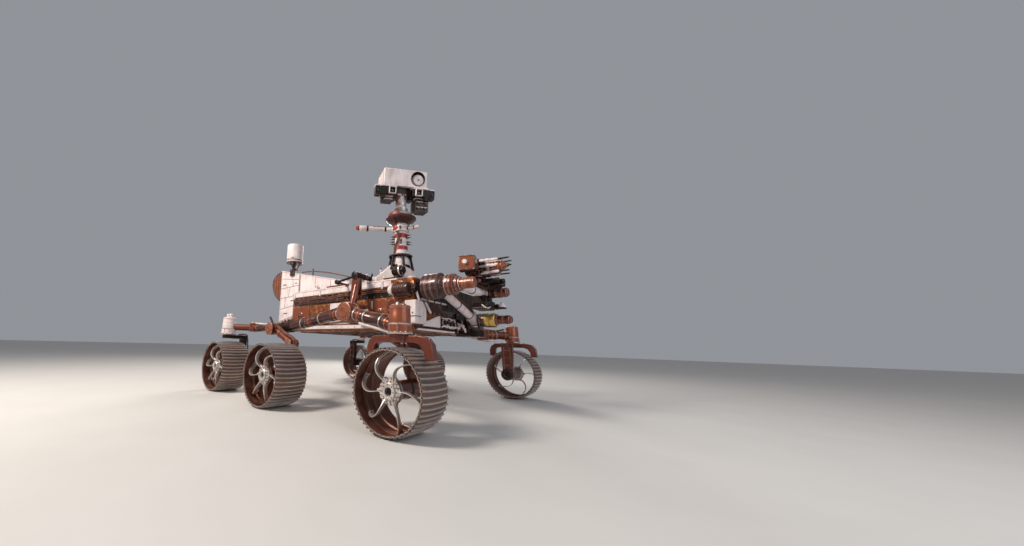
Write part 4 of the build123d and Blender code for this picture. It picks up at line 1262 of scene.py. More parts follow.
# Dark drive on the housing's outer cheek, with ribs and a flanged end
drive_at = frame_to((806, -628, 1166), AHEAD)
drive_shape = [(30, 0), (40, 3)]
for k in range(4):
    rib = 6 + 16 * k
    drive_shape += [(40, rib), (43.5, rib + 2), (43.5, rib + 9), (40, rib + 11)]
drive_shape += [(40, 88), (32, 94), (30, 108), (24, 112)]
form.lathe(drive_shape, drive_at, 40)
form.box((812, -640, 1118), (868, -575, 1166))
form.done("mast_drive", dark, bevel=2)
form.band(drive_at, 44.5, 47.5, 70, 84, 2, 40)
form.bolts((906, -628, 1166), AHEAD, 36, 6, 3.5, 4)
form.done("mast_drive_ring", hub_metal)
for k in range(5):
    spread = 12 * (k - 2)
    form.path([(640 + spread, -395, 1120), (680 + spread, -378, 1190), (735 + spread, -380, 1270),
        (745 + spread, -405, 1350), (752 + spread * 0.7, -426, 1460), (757 + spread * 0.6, -430, 1560),
        (762 + spread * 0.5, -428, 1640)], 5.8)
# Three more wires wind round the tube's near side: angle and height
WIND = [(-128, 1345), (-112, 1410), (-92, 1455), (-80, 1500), (-88, 1545), (-102, 1568), (-112, 1636)]
for k in range(3):
    route = [move(MAST) @ turn(angle + 9 * k, "Z") @ Vector((65.5, 0, height)) for angle, height in WIND]
    form.path(route, 4.2)
form.done("mast_wires", sleeve)
for height in (1360, 1440, 1520, 1600):
    form.box((-58, 50, height - 6), (16, 78, height + 6), move(MAST))
form.done("mast_wire_clamps", steel, bevel=2)

# %% [markdown]
# Two booms with wind sensors are clamped round the mast. The long one points to the rear right and has a
# thicker end with a small sensor head; the short one points forward.

# %% Booms
BOOM_Z = 1587
LONG_END = Vector((488, -782, BOOM_Z))
SHORT_END = Vector((963, -447, 1597))


def add_along(start, end, shape, count=32):
    """Lathes a shape along a line: pairs of radius and distance from the start."""
    form.lathe(shape, frame_to(start, Vector(end) - Vector(start)), count)


boom_root = MAST + UP * BOOM_Z
length = (LONG_END - boom_root).length
add_along(boom_root, LONG_END, [
    (21, 50), (26, 55), (26, 80), (20, 85), (18.5, 120), (18.5, length - 160),
    (22, length - 155), (22, length - 112)])
add_along(boom_root, LONG_END, [
    (23.5, length - 98), (25.5, length - 94), (25.5, length - 34), (22, length - 30)])
add_along(boom_root, SHORT_END, [
    (17, 50), (20, 55), (20, 75), (14.5, 80), (14.5, 120), (17, 124),
    (17, 165), (12, 172)], 24)
clamp = [(52.5, -25), (69, -25), (71, -20), (71, -8), (66, -4), (66, 4), (71, 8), (71, 20), (69, 25),
    (52.5, 25)]
form.lathe(clamp, move(boom_root), 64, closed=False)
form.done("booms_white", white, replaces="booms")
add_along(boom_root, LONG_END, [
    (24.5, length - 113), (26.5, length - 111), (26.5, length - 99), (24.5, length - 97)])
add_along(boom_root, LONG_END, [(19.5, 135), (20.5, 137), (20.5, 150), (19.5, 152)])
add_along(boom_root, SHORT_END, [(18, 122), (18, 130)])
for k in range(6):
    form.box((66, -7, -16), (79, 7, 16), move(boom_root) @ turn(60 * k, "Z"))
form.done("booms_rings", dark)
add_along(boom_root, LONG_END, [
    (22.5, length - 31), (22.5, length - 16), (16, length - 10), (16, length)])
form.lathe([(20, 60), (24, 62), (24, 76), (17, 80)], frame_to(boom_root, (-0.2, -0.98, 0.1)), 32)
form.done("boom_tips", red)
for share in (0.3, 0.5, 0.7, 0.9):
    at = boom_root.lerp(LONG_END, share)
    form.tube(at, at + UP * 27, 4, count=8)
form.path([boom_root + Vector((-50, -50, 20)), boom_root.lerp(LONG_END, 0.4) + UP * 21,
    boom_root.lerp(LONG_END, 0.7) + UP * 24], 3.5)
form.done("boom_wire", sleeve)
print("booms dressed")

# %% [markdown]
# The head pans on the mast's top and tilts on a cross shaft. Its box is white, with one large round window
# in the left front; a dark bar under it carries four cameras and two hanging housings. Everything is
# written in the head's own frame, with X ahead and Z up, and one matrix sets it on the tilt axis, so that a
# part can be placed from a sketch of the head seen from its front.

# %% Neck
PAN = -39
AXIS_Z = 1900
neck_place = move(MAST) @ turn(PAN, "Z")
# Neck bands: name, finish, pairs of radius and height
NECK_BANDS = [
    ("neck_base", steel, [(62, 1740.5), (62.5, 1750), (60, 1756), (60, 1772), (61.5, 1776), (61.5, 1783.5),
        (40, 1784)]),
    ("neck_post", white, [(41, 1780), (41, 1810), (46, 1814), (46, 1836), (40, 1842), (40, 1905),
        (34, 1909)]),
    ("neck_ring", hub_metal, [(46.5, 1816), (50, 1818), (50, 1832), (46.5, 1834)]),
]
for name, finish, profile in NECK_BANDS:
    form.lathe(profile, neck_place, count=56)
    if name == "neck_base":
        for k in range(12):
            fin = neck_place @ turn(30 * k, "Z")
            form.box((56, -3, 1757), (63.5, 3, 1771), fin)
    form.done(name, finish, "neck", replaces="head_neck" if name == "neck_base" else "")
for side in (-1, 1):
    shape = [(24, 30), (24, 96), (19, 97.5)]
    form.lathe(shape, frame_to(neck_place @ Vector((0, 0, AXIS_Z)),
        neck_place.to_3x3() @ Vector((0, side, 0))), 40)
form.box((-36, -49, 1876), (36, 49, 1908), neck_place)
form.done("neck_yoke", umber, "neck", bevel=4)
for k in range(5):
    form.box((20 - 11 * k, -47, 1846), (27 - 11 * k, -38, 1876), neck_place)
form.box((-34, -43, 1842), (34, -36, 1878), neck_place)
form.done("neck_cover", red, "neck", bevel=1.5)

# %% Head box
TILT = 8
HEAD = move(MAST + UP * AXIS_Z) @ turn(PAN, "Z") @ turn(TILT, "Y")
depth, half, floor_z, roof_z = 134, 199, 69, 217  # half depth, half width, floor and roof of the box
WINDOW_Y, WINDOW_Z, WINDOW_R = 112, 142, 63
WINDOW_SIDES = 48


def head_lathe(at, direction, profile, count=48, closed=True):
    """A turned part of the head, in the head's frame."""
    place = HEAD @ frame_to(at, direction)
    form.lathe(profile, place, count, closed)


# The front face is a plate with a round opening; the other faces close the box behind it
corners = [(half, floor_z), (half, roof_z), (-half, roof_z), (-half, floor_z)]
angles = [2 * pi * k / WINDOW_SIDES for k in range(WINDOW_SIDES)]
window = [(WINDOW_Y + WINDOW_R * cos(angle), WINDOW_Z + WINDOW_R * sin(angle)) for angle in angles]
low = [form.vert(HEAD @ Vector((depth, y, z))) for y, z in corners]
ring = [form.vert(HEAD @ Vector((depth, y, z))) for y, z in window]
quarter_sides = WINDOW_SIDES // 4
for k in range(WINDOW_SIDES):
    form.face((ring[k], ring[(k + 1) % WINDOW_SIDES], low[(k // quarter_sides + 1) % 4]))
for quarter in range(4):
    form.face((ring[quarter_sides * quarter], low[(quarter + 1) % 4], low[quarter]))
back = [form.vert(HEAD @ Vector((-depth, y, z))) for y, z in corners]
for k in range(4):
    form.face((low[k], low[(k + 1) % 4], back[(k + 1) % 4], back[k]))
form.face(list(reversed(back)))
form.done("head_shell", white, "head", replaces="head_box", bevel=7, segments=3)

head_lathe((depth - 1, WINDOW_Y, WINDOW_Z), AHEAD, [(62.5, -30), (62.5, 4), (64, 6), (66.8, 4), (66.8, 0)],
    64, closed=False)
head_lathe((depth - 1, WINDOW_Y, WINDOW_Z), AHEAD, [(62.8, -50), (62.8, -32), (56, -30)])
form.done("window_ring", dark, "head")
cone_at = (depth - 30, WINDOW_Y + 6, WINDOW_Z - 7)
head_lathe(cone_at, AHEAD, [(54.5, 0), (54, 14), (44, 26), (12, 29), (7, 24)], 48)
form.done("window_mirror", white, "head")
head_lathe(cone_at, AHEAD, [(6.8, 10), (6.8, 26), (4, 28)], 24)
form.done("window_eye", glass, "head")

# Seams, covers and bolts of the box
form.box((-depth - 2, -half - 2, 64), (depth + 3, half + 2, 76), HEAD)
for y in (-150, -20):
    form.box((depth - 1, y - 1, 85), (depth + 1.2, y + 1, 206), HEAD)
form.pair((-100, half - 2, 92), (105, half + 2, 198), HEAD)
form.box((-depth - 2, -165, 90), (-depth + 1, 165, 200), HEAD)
form.box((-112, -175, roof_z - 1), (112, 175, roof_z + 2), HEAD)
form.done("head_panels", white, "head", bevel=1.2)
for y in (-185, -135, -85, -35, 15, 185):
    for z in (83, 206):
        if abs(y - WINDOW_Y) > 50:
            form.stud(HEAD @ frame_to((depth, y, z), AHEAD), 4, 2, 3, 3)
for side in (-1, 1):
    for x in (-90, -30, 30, 92):
        for z in (100, 190):
            form.stud(HEAD @ frame_to((x, side * (half + 2), z), (0, side, 0)), 4, 2, 3, 3)
    for x in (-100, -35, 35, 100):
        form.stud(HEAD @ frame_to((x, side * 165, roof_z + 2), UP), 4, 2, 3, 3)
form.done("head_bolts", steel, "head")

# Louvre, sockets and seams on the box's rear, sides and roof
form.box((-depth - 8, 16, 98), (-depth + 2, 152, 192), HEAD)
form.done("head_louvre_frame", white, "head", bevel=2)
for k in range(7):
    z = 106 + 12 * k
    form.box((-depth - 11, 24, z), (-depth - 6, 144, z + 6), HEAD)
form.done("head_louvre", dark, "head")
socket = [(14, 0), (14, 8), (10, 10), (10, 20), (7, 22)]
for y in (-50, -90, -130):
    head_lathe((-depth, y, 105), -AHEAD, socket, 20)
form.done("head_sockets", hub_metal, "head")
for y in (-50, -90, -130):
    near = -66 + 0.25 * (y + 90)
    route = [(-152, y, 105), (-166, y, 90), (-152, y + 4, 64), (-100, (y + near) / 2, 54), (-36, near, 46)]
    form.path([HEAD @ Vector(point) for point in route], 5.5)
form.done("head_leads", sleeve, "head")
seam_height = roof_z + 1.5
seams = [((-112, y, seam_height), (112, y, seam_height)) for y in (-175, -60, 60, 175)]
seams += [((x, -175, seam_height), (x, 175, seam_height)) for x in (-112, 112)]
for side in (-1, 1):
    y = side * (half + 1.5)
    corners = [(-100, y, 92), (105, y, 92), (105, y, 198), (-100, y, 198)]
    seams += list(zip(corners, corners[1:] + corners[:1]))
for low, high in seams:
    form.tube(HEAD @ Vector(low), HEAD @ Vector(high), 1.2, count=6)
form.done("head_seams", dark, "head")

# %% Camera bar
form.pair((62, 69, -16), (138, 228, 50), HEAD)
form.pair((-38, 56, -34), (64, 96, 66), HEAD)
form.box((-45, -57, 57), (100, 57, 68.5), HEAD)
form.done("camera_bar_frame", dark, "head", replaces="camera_bar", bevel=4)
form.pair((66, 226, -30), (140, 273, 48), HEAD)
form.pair((80, 180, -50), (136, 220, -12), HEAD)
for k in range(5):
    form.pair((70 + 13 * k, 225, -34), (76 + 13 * k, 274, 40), HEAD)
form.done("end_cameras", dark, "head", bevel=3)
form.pair((60, 224, 46), (142, 274.5, 58), HEAD)
form.pair((70, 76, 50), (146, 216, 64.5), HEAD)
# Square hoods with an open front: inner and outer wall, roof and a shorter floor
y, z, wide, wall = 122, 16, 31, 6
form.pair((128, y - wide, z - wide + 2), (166, y - wide + wall, z + wide), HEAD)
form.pair((128, y + wide - wall, z - wide + 2), (166, y + wide, z + wide), HEAD)
form.pair((128, y - wide, z + wide - wall), (166, y + wide, z + wide), HEAD)
form.pair((128, y - wide, z - wide), (158, y + wide, z - wide + wall), HEAD)
form.done("camera_hoods", white, "head", bevel=1.5)
for side in (-1, 1):
    for y, z, radius in ((122, 16, 18), (250, 10, 16)):
        head_lathe((132, side * y, z), AHEAD, [(radius, 0), (radius, 16), (radius * 0.8, 18),
            (radius * 0.72, 10), (radius * 0.3, 13)], 32)
form.done("camera_lenses", glass, "head")

# %% [markdown]
# The hanging housings are finned, dark boxes with pale trims, the larger one on the head's left.

# %% Hanging housings
# Housing: near and far side, low and high, back and front, fins
HOUSINGS = [
    ("large", (107, 238), (-138, -12), (-48, 98), 9), ("small", (-198, -98), (-68, -12), (-18, 98), 5),
]
for name, (y0, y1), (z0, z1), (x0, x1), fins in HOUSINGS:
    form.box((x0 + 8, y0 + 6, z0 + 6), (x1 - 10, y1 - 6, z1), HEAD)
    step = (z1 - z0 - 12) / fins
    for k in range(fins):
        z = z0 + 4 + step * k
        form.box((x0, y0, z), (x1 - 6, y1, z + step * 0.4), HEAD)
    form.done(f"housing_{name}", dark, "head", bevel=1.5)
    for share in (0.3, 0.68):
        z = z0 + (z1 - z0) * share
        form.box((x1 - 12, y0 + 10, z), (x1, y1 - 10, z + 7), HEAD)
        form.box((x0 + 20, y1 - 2, z), (x1 - 20, y1 + 2, z + 5), HEAD)
    form.box((x0 + 10, y0 - 1, z1 - 10), (x1 - 4, y1 + 1, z1 - 3), HEAD)
    form.done(f"housing_trim_{name}", white, "head", bevel=1)
for k, (y, z) in enumerate(((140, -48), (206, -48), (140, -102), (206, -102))):
    head_lathe((88, y, z), AHEAD, [(20, 0), (20, 10), (16, 11.5), (14, 6), (6, 8)], 28)
form.done("housing_lenses", glass, "head")
for side in (-1, 1):
    cap = [(26, 0), (30, 2), (30, 10), (24, 12)]
    head_lathe((0, side * 98.5, 0), (0, side, 0), cap, 40)
form.done("tilt_caps", hub_metal, "head")
for k in range(3):
    form.path([HEAD @ Vector((-50, 20 + 20 * k, 66)), HEAD @ Vector((-78, 40 + 20 * k, 50)),
        HEAD @ Vector((-70, 90 + 10 * k, 36)), HEAD @ Vector((-40, 107 + 10 * k, 30))], 5)
form.done("head_wires", sleeve, "head")
print("head dressed")

# %% [markdown]
# The arm is folded across the front. Its joints are round actuators, each a stepped barrel with rings and
# bolts, and thin white tubes run between them. A table gives each barrel's start, profile and finish, so
# that the whole arm can be read as a list of turned parts along the X axis.

# %% Arm barrels
SHOULDER = Vector((1150, 250, 800))
ELBOW = Vector((1050, -510, 1020))
WRIST = Vector((1245, 150, 1035))
TURRET = Vector((1300, -60, 0))
DRILL = TURRET + UP * 1225
# Barrels: name, body, finish, start, pairs of radius and distance along X, replaced nodes
BARRELS = [
    ("elbow_drum", "arm_upper", umber, ELBOW, [(40, -4), (52, -4), (54, 0), (90, 0), (96, 4), (104, 8),
        (104, 40), (101.5, 42), (101.5, 50), (104, 52), (104, 88), (101.5, 90), (101.5, 98), (104, 100),
        (104, 136), (98, 140), (98, 148), (94, 152), (84, 153), (82, 166), (74, 168), (70, 178), (58, 179)],
        ""),
    ("elbow_rings", "arm_upper", dark, ELBOW, [(102, 136), (104.2, 138), (104.2, 147), (102, 149)], ""),
    ("elbow_step", "arm_fore", bronze, ELBOW, [(40, 186), (70, 187), (82, 192), (84, 198), (84, 228),
        (81.5, 230), (81.5, 238), (84, 240), (84, 262), (80, 268), (66, 270), (66, 282), (62, 285), (62, 294),
        (55, 298), (30, 299)], "forearm"),
    ("elbow_tip", "arm_fore", orange, ELBOW, [(40, 300), (52, 301), (52, 310), (43.5, 312), (43.5, 330),
        (42, 331), (42, 336), (43.5, 337), (43.5, 348), (40, 350), (40, 357), (43.5, 359), (43.5, 402),
        (39, 407), (39, 414), (32, 417), (30, 412), (12, 411)], ""),
    ("shoulder_barrel", "arm_turn", umber, SHOULDER, [(40, 40), (63, 42), (65.5, 46), (65.5, 60), (61, 63),
        (61, 80), (65, 83), (65, 100), (58, 102)], "arm_shoulder"),
    ("shoulder_gold", "arm_turn", gold, SHOULDER, [(56, 100), (63.5, 103), (66, 108), (66, 140), (64, 143),
        (66, 146), (66, 190), (62, 196), (56, 200)], ""),
    ("shoulder_tip", "arm_turn", bronze, SHOULDER, [(50, 198), (54, 202), (54, 212), (40, 216), (40, 262),
        (36.5, 265), (36.5, 275), (40, 278), (40, 318), (34, 324), (30, 338), (22, 339), (20, 330), (8, 329)],
        ""),
    ("wrist_knuckle", "arm_fore", umber, WRIST, [(30, 0), (46, 0), (52, 5), (52, 28), (49, 31), (49, 38),
        (52, 41), (52, 78), (49, 81), (49, 88), (52, 91), (52, 104), (46, 109)], ""),
    ("wrist_barrel", "arm_wrist", bronze, WRIST, [(30, 116), (44, 117), (45.5, 120), (45.5, 150), (42, 153),
        (42, 160), (45, 163), (45, 204), (40, 207), (40, 216), (43, 219), (43, 240), (36, 246), (34, 254.5),
        (22, 255), (20, 248), (8, 247)], "wrist"),
]
for name, body, finish, start, profile, stands_for in BARRELS:
    form.lathe(profile, frame_to(start, AHEAD), count=64, closed=len(profile) > 4)
    form.done(name, finish, body, replaces=stands_for)

for radius, reach, bolts, size in ((93, 140, 20, 4), (78, 154, 16, 3.6)):
    form.bolts(ELBOW + AHEAD * reach, AHEAD, radius, bolts, size, 5)
form.bolts(ELBOW + AHEAD * 4, -AHEAD, 78, 16, 4.5, 5)
form.done("elbow_bolts", hub_metal, "arm_upper")
form.bolts(ELBOW + AHEAD * 267, AHEAD, 74.5, 16, 3.6, 5)
form.bolts(ELBOW + AHEAD * 408, AHEAD, 36, 8, 3, 5)
for reach in (202, 304):
    radius = 84.5 if reach < 250 else 52.5
    form.band(frame_to(ELBOW + AHEAD * reach, AHEAD), radius - 4, radius + 1.2, 0, 6, count=56)
# Round cover with an open ring on the barrel's right side
cover_at = frame_to(ELBOW + Vector((216, -79, 20)), (0, -0.97, 0.24))
form.lathe([(17, 0), (17, 6.5), (12, 8), (10, 4), (5, 4)], cover_at, 28)
form.done("elbow_step_bolts", hub_metal, "arm_fore")

# %% [markdown]
# Between the barrels: white tubes with end fittings and clamps for the wires, and the yoke and turntable
# under the shoulder.

# %% Arm tubes
UPPER_ENDS = (Vector((1150, 250, 800)), Vector((1150, -510, 1020)))
UPPER_SLOPE = -16.1
FORE_ENDS = (Vector((1300, -510, 1020)), Vector((1300, 150, 1035)))
WIRE_SHARES = (0.07, 0.2, 0.36, 0.52, 0.68, 0.82, 0.93)
# Tubes: name, body, ends, first and last share
for name, body, (start, end), first, last in (("upper_tube", "arm_upper", UPPER_ENDS, 0.06, 0.9),
        ("fore_tube", "arm_fore", FORE_ENDS, 0.05, 0.95)):
    along = (end - start).normalized()
    length = (end - start).length
    shape = [(34, length * first), (38.5, length * first + 4), (38.5, length * first + 70),
        (34, length * first + 82), (34, length * last - 82), (38.5, length * last - 70),
        (38.5, length * last - 4), (34, length * last)]
    form.lathe(shape, frame_to(start, along))
    form.done(name, white, body, replaces="upper_arm" if name == "upper_tube" else "")
    for share in (0.17, 0.5, 0.84):
        at = start + along * length * share
        form.band(frame_to(at, along), 34, 39.2, 0, 8, count=40)
        form.box((-10, -9, 34), (26, 9, 52), move(at))
    form.done(f"{name}_clamps", dark, body, bevel=1.2)
    for k in range(4):
        aside = Vector((22 - 12 * k, 0, 44 if k % 2 else 50))
        form.path([start.lerp(end, share) + aside for share in WIRE_SHARES], 5.8)
    form.done(f"{name}_wires", sleeve, body)

root = [(40, -34.5), (54, -34.5), (56, -31), (56, 31), (54, 34.5), (40, 34.5)]
form.lathe(root, frame_to(SHOULDER, AHEAD))
form.bolts(SHOULDER + AHEAD * 33, AHEAD, 48, 10, 3.6, 3)
form.box((-34, -110, -36), (34, -20, 50), move(SHOULDER) @ turn(UPPER_SLOPE, "X"))
form.box((-45, 60, -50), (40, 125, 36), move(UPPER_ENDS[1]) @ turn(UPPER_SLOPE, "X"))
form.done("upper_root", white, "arm_upper", bevel=6)
for x in (1088.5, 1190.5):
    plate_at = move((x, 250, 0)) @ turn(90, "Z") @ UPRIGHT
    outline = [(-50, 712), (50, 712), (50, 790)]
    outline += [(50 * cos(radians(a)), 790 + 50 * sin(radians(a))) for a in range(20, 180, 20)]
    outline += [(-50, 790)]
    form.plate(outline, 21, plate_at)
form.lathe([(50, 700.5), (57.5, 702), (57.5, 710), (53, 712), (53, 722)], move((1150, 250, 0)), 56)
form.box((1092, 204, 715), (1208, 296, 731))
form.done("shoulder_yoke", umber, "arm_turn", bevel=3)
form.bolts((1150, 250, 731), UP, 40, 10, 3.6, 3)
form.bolts(SHOULDER - AHEAD * 61.5, -AHEAD, 36, 8, 3.6, 3)
form.bolts(SHOULDER + AHEAD * 213, AHEAD, 47, 12, 3.2, 4)
form.done("shoulder_bolts", hub_metal, "arm_turn")
for k in range(7):
    form.box((110 + 12 * k, -20, -66.5), (115 + 12 * k, 20, -56), move(SHOULDER))
form.box((104, -26, -68), (196, 26, -60), move(SHOULDER))
form.done("shoulder_under", dark, "arm_turn", bevel=1)
# Black block under the end of the forearm, with ribs and a small white cone in front. Its black is painted
# shade: a dark mass that stands for the shade under the arm's end and turret.
form.lathe([(20, 0), (38, 2), (40, 6), (40, 120), (36, 126), (20, 128)], frame_to((1215, 60, 925), AHEAD), 40)
form.lathe([(20, 0), (38, 2), (40, 6), (40, 135), (34, 143), (20, 145)], frame_to((1215, 185, 922), AHEAD),
    40)
form.box((1222, 30, 884), (1350, 215, 946))
form.box((1222, 5, 936), (1345, 182, 1002))
form.lathe([(12, 0), (24, 1), (24, 30), (18, 34)], frame_to((1340, 60, 975), AHEAD), 28)
form.lathe([(12, 0), (26, 1), (26, 22), (22, 26), (14, 70), (8, 72)], frame_to((1358, 225, 918), AHEAD), 32)
form.box((1340, 175, 896), (1448, 250, 908))
form.done("forearm_motor", dark, "arm_fore", bevel=3)
for k in range(9):
    form.box((1230 + 13.5 * k, 34, 880.5), (1235 + 13.5 * k, 211, 885.5))
    form.box((1230 + 13.5 * k, 26, 892), (1235 + 13.5 * k, 31, 940))
for y in (60, 185):
    form.bolts((1342 if y < 100 else 1359, y, 925), AHEAD, 30, 8, 3.4, 4)
form.done("forearm_motor_ribs", umber, "arm_fore", bevel=1)
form.lathe([(34, 0), (34, 8), (14, 46), (10, 48), (3, 48.5)], frame_to((1415, 215, 908), UP), 32)
form.path([(1300, 28, 930), (1330, 20, 900), (1350, 50, 890), (1352, 100, 905)], 6)
form.done("forearm_cone", white, "arm_fore")
print("arm barrels", len(BARRELS))

# %% [markdown]
# The wrist's crank carries the tool turret: a finned core with the drill at its front, a camera box on its
# right and many small posts, guards and connectors. Such a cluster reads as busy machinery, so it is built
# from many small turned parts set on circles, from tables that keep their finish and size apart.

# %% Wrist crank
crank = move((1362, 0, 0)) @ turn(90, "Z") @ UPRIGHT
form.plate([(112, 1035), (120, 1010), (150, 998), (180, 1010), (189, 1035), (189, 1130), (92, 1130)], 46,
    crank)
form.box((1256, -60, 1096.5), (1409, 189, 1133))
form.lathe([(60, 1095.5), (70, 1099), (70, 1128), (66, 1134.5)], move(TURRET), 56)
form.done("wrist_crank", umber, "arm_wrist", bevel=4)
for x in (1275, 1300, 1325, 1350, 1375):
    form.box((x - 3, -10, 1091), (x + 3, 180, 1098))
form.bolts(TURRET + UP * 1095.5, -UP, 55, 12, 4, 4)
form.bolts((1408, 150, 1075), AHEAD, 26, 6, 4, 4)
form.done("wrist_ribs", hub_metal, "arm_wrist")
for k in range(4):
    form.path([(1340 + 10 * k, 100, 1075), (1335 + 10 * k, 60, 1062), (1310 + 10 * k, 0, 1075),
        (1300 + 10 * k, -50, 1090)], 6)
form.done("wrist_wires", sleeve, "arm_wrist")

# %% Tool turret
form.lathe([(66, 1140.5), (80, 1144), (80, 1158), (74, 1161), (74, 1196), (81.5, 1199), (81.5, 1252),
    (74, 1255), (74, 1284), (80, 1287), (80, 1296), (62, 1300), (58, 1309), (30, 1310)], move(TURRET), 64)
form.box((1240, -186, 1186), (1360, -100, 1264))
form.done("turret_core", bronze, "tools", replaces="turret", bevel=3)
for k in range(18):
    fin = move(TURRET) @ turn(20 * k, "Z")
    form.box((72, -3.5, 1256), (81.5, 3.5, 1284), fin)
    form.box((72, -3.5, 1162), (81.5, 3.5, 1195), fin)
form.done("turret_fins", umber, "tools", bevel=1)

# Parts of the drill: name, finish, height above its axis, pairs of radius and distance along X
DRILL_PARTS = [
    ("drill", hub_metal, 0, [(40, 70), (60, 74), (66, 80), (66, 92), (60, 95), (60, 112), (66, 115),
        (66, 128), (60, 132), (30, 133)]),
    ("drill_nose", orange, 6, [(30, 130), (58, 132), (62, 138), (62, 166), (56, 170), (56, 176), (61, 179),
        (61, 202), (52, 212), (44, 214), (44, 224), (34, 230), (30, 246), (20, 250), (18, 266), (6, 268)]),
    ("drill_bit", dark, 6, [(12, 262), (12, 276), (8, 278), (6, 290), (1, 298)]),
]
for name, finish, above, profile in DRILL_PARTS:
    form.lathe(profile, frame_to(DRILL + UP * above, AHEAD), 56)
    form.done(name, finish, "tools")
# Guard rods beside the drill: aside, height, radius, end
for name, finish, rods in (("drill_rods", dark, ((-50, 58, 6.5, 297), (52, 52, 6, 285), (-54, -50, 6.5, 297),
        (46, -56, 6, 270))), ("drill_sleeves", white, ((-50, 58, 13, 205), (52, 52, 12, 180),
        (-54, -50, 13, 215), (46, -56, 12, 190), (-66, 4, 11, 200), (64, -4, 11, 195)))):
    for aside, height, radius, reach in rods:
        shape = [(radius, 62), (radius, reach * 0.6), (radius * 0.8, reach * 0.62),
            (radius * 0.8, reach * 0.7), (radius, reach * 0.72), (radius, reach * 0.94),
            (radius * 0.45, reach)]
        form.lathe(shape, frame_to(DRILL + Vector((0, aside, height)), AHEAD), 20)
    form.done(name, finish, "tools")
for k in range(12):
    rib_at = move(DRILL + UP * 6) @ turn(30 * k, "X")
    form.box((142, -4, 58), (200, 4, 65.5), rib_at)
form.bolts(DRILL + AHEAD * 132, AHEAD, 63.5, 14, 3.6, 5)
form.done("drill_ribs", bronze, "tools", bevel=1)
# Posts of the tool cluster: forward reach, aside, height, radius, length, finish
POSTS = [
    (40, 58, 1286, 13, 100, orange), (52, -52, 1284, 15, 90, white),
    (30, 20, 1290, 16, 110, white), (45, -18, 1282, 9, 160, steel),
    (50, 40, 1255, 8, 180, steel), (20, 72, 1236, 18, 85, bronze),
    (20, 76, 1190, 15, 110, orange), (50, 30, 1168, 20, 70, umber),
    (50, -30, 1168, 17, 95, bronze), (40, -70, 1232, 14, 120, white),
    (60, 0, 1292, 6, 190, steel), (66, -62, 1262, 6, 165, steel),
]
for finish_name, finish in (("orange", orange), ("white", white), ("steel", steel), ("bronze", bronze),
        ("umber", umber)):
    for ahead, aside, height, radius, length, post_finish in POSTS:
        if post_finish is not finish:
            continue
        root = TURRET + Vector((ahead, aside, height))
        shape = [(radius, 0), (radius, length * 0.4), (radius * 0.75, length * 0.43),
            (radius * 0.75, length * 0.52), (radius, length * 0.55), (radius, length * 0.86),
            (radius * 0.7, length * 0.9), (radius * 0.55, length), (radius * 0.2, length * 0.99)]
        form.lathe(shape, frame_to(root, AHEAD), 24)
    form.done(f"turret_posts_{finish_name}", finish, "tools")

# %% Camera box of the turret
# The box stands turned on its bracket, and its pale round window faces right
BOX_AT = move((1306, -262, 1236)) @ turn(13, "Z")
BOX_OUT = (BOX_AT.to_3x3() @ Vector((0, -1, 0))).normalized()
form.box((-64, -48, -58), (64, 52, 58), BOX_AT)
form.box((-40, 50, -50), (30, 110, 30), BOX_AT)
form.done("tool_box", orange, "tools", replaces="turret_box", bevel=6, segments=3)
for low_corner, high_corner in (((-67, -40, -61), (-60, 44, 61)), ((60, -52, -61), (68, 44, 61)),
        ((-67, -52, 55), (67, 44, 62)), ((-67, -52, -62), (67, 44, -52)), ((-58, 48, -56), (58, 64, 56))):
    form.box(low_corner, high_corner, BOX_AT)
form.done("tool_box_frame", umber, "tools", bevel=2)
form.lathe([(19, 0), (19, 22), (15, 25), (6, 24.5)], frame_to(BOX_AT @ Vector((-12, -46, 6)), BOX_OUT), 36)
form.stud(frame_to(BOX_AT @ Vector((66, 0, 10)), BOX_AT.to_3x3() @ AHEAD), 16, 4, 12, 5, 28)
form.done("tool_box_ports", white, "tools")
for x in (-55, 0, 55):
    for z in (-57.5, 58.5):
        form.stud(frame_to(BOX_AT @ Vector((x, -52, z)), BOX_OUT), 4, 2.5, 3, 3)
form.bolts(BOX_AT @ Vector((-12, -49, 6)), BOX_OUT, 26, 10, 3, 4)
form.done("tool_box_bolts", steel, "tools")
# Black connectors and cable backshells between box and drill, and on the wrist's crank under them
for y, z, radius, length in ((-150, 1252, 16, 60), (-112, 1232, 20, 70), (-140, 1200, 18, 66),
        (-180, 1172, 16, 50), (-100, 1174, 18, 80)):
    shape = [(radius, 0), (radius, length * 0.5), (radius * 0.8, length * 0.55), (radius * 0.8, length),
        (radius * 0.4, length)]
    form.lathe(shape, frame_to((1350, y, z), AHEAD), 24)
form.done("turret_plugs", dark, "tools")
for y, z, radius, length in ((-85, 1105, 24, 95), (-30, 1098, 28, 120), (35, 1104, 24, 100),
        (85, 1098, 20, 75), (0, 1060, 18, 85), (-60, 1062, 15, 130)):
    shape = [(radius, -30), (radius, length * 0.45), (radius * 0.8, length * 0.5),
        (radius * 0.8, length * 0.62), (radius * 0.95, length * 0.66), (radius * 0.95, length),
        (radius * 0.4, length + 4)]
    form.lathe(shape, frame_to((1405, y, z), AHEAD), 24)
form.box((1380, -90, 1048), (1412, 100, 1124))
form.done("wrist_plugs", dark, "arm_wrist", bevel=2)
for k in range(5):
    form.path([(1260 + 14 * k, -215, 1300), (1265 + 12 * k, -170, 1318), (1270 + 12 * k, -110, 1312),
        (1275 + 10 * k, -75, 1298)], 5.5)
for k in range(3):
    form.path([(1235, -150 + 20 * k, 1200), (1222, -110 + 20 * k, 1190), (1226, -60 + 15 * k, 1165),
        (1245, -40 + 10 * k, 1148)], 5.5)
form.done("turret_wires", sleeve, "tools")
print("turret dressed")

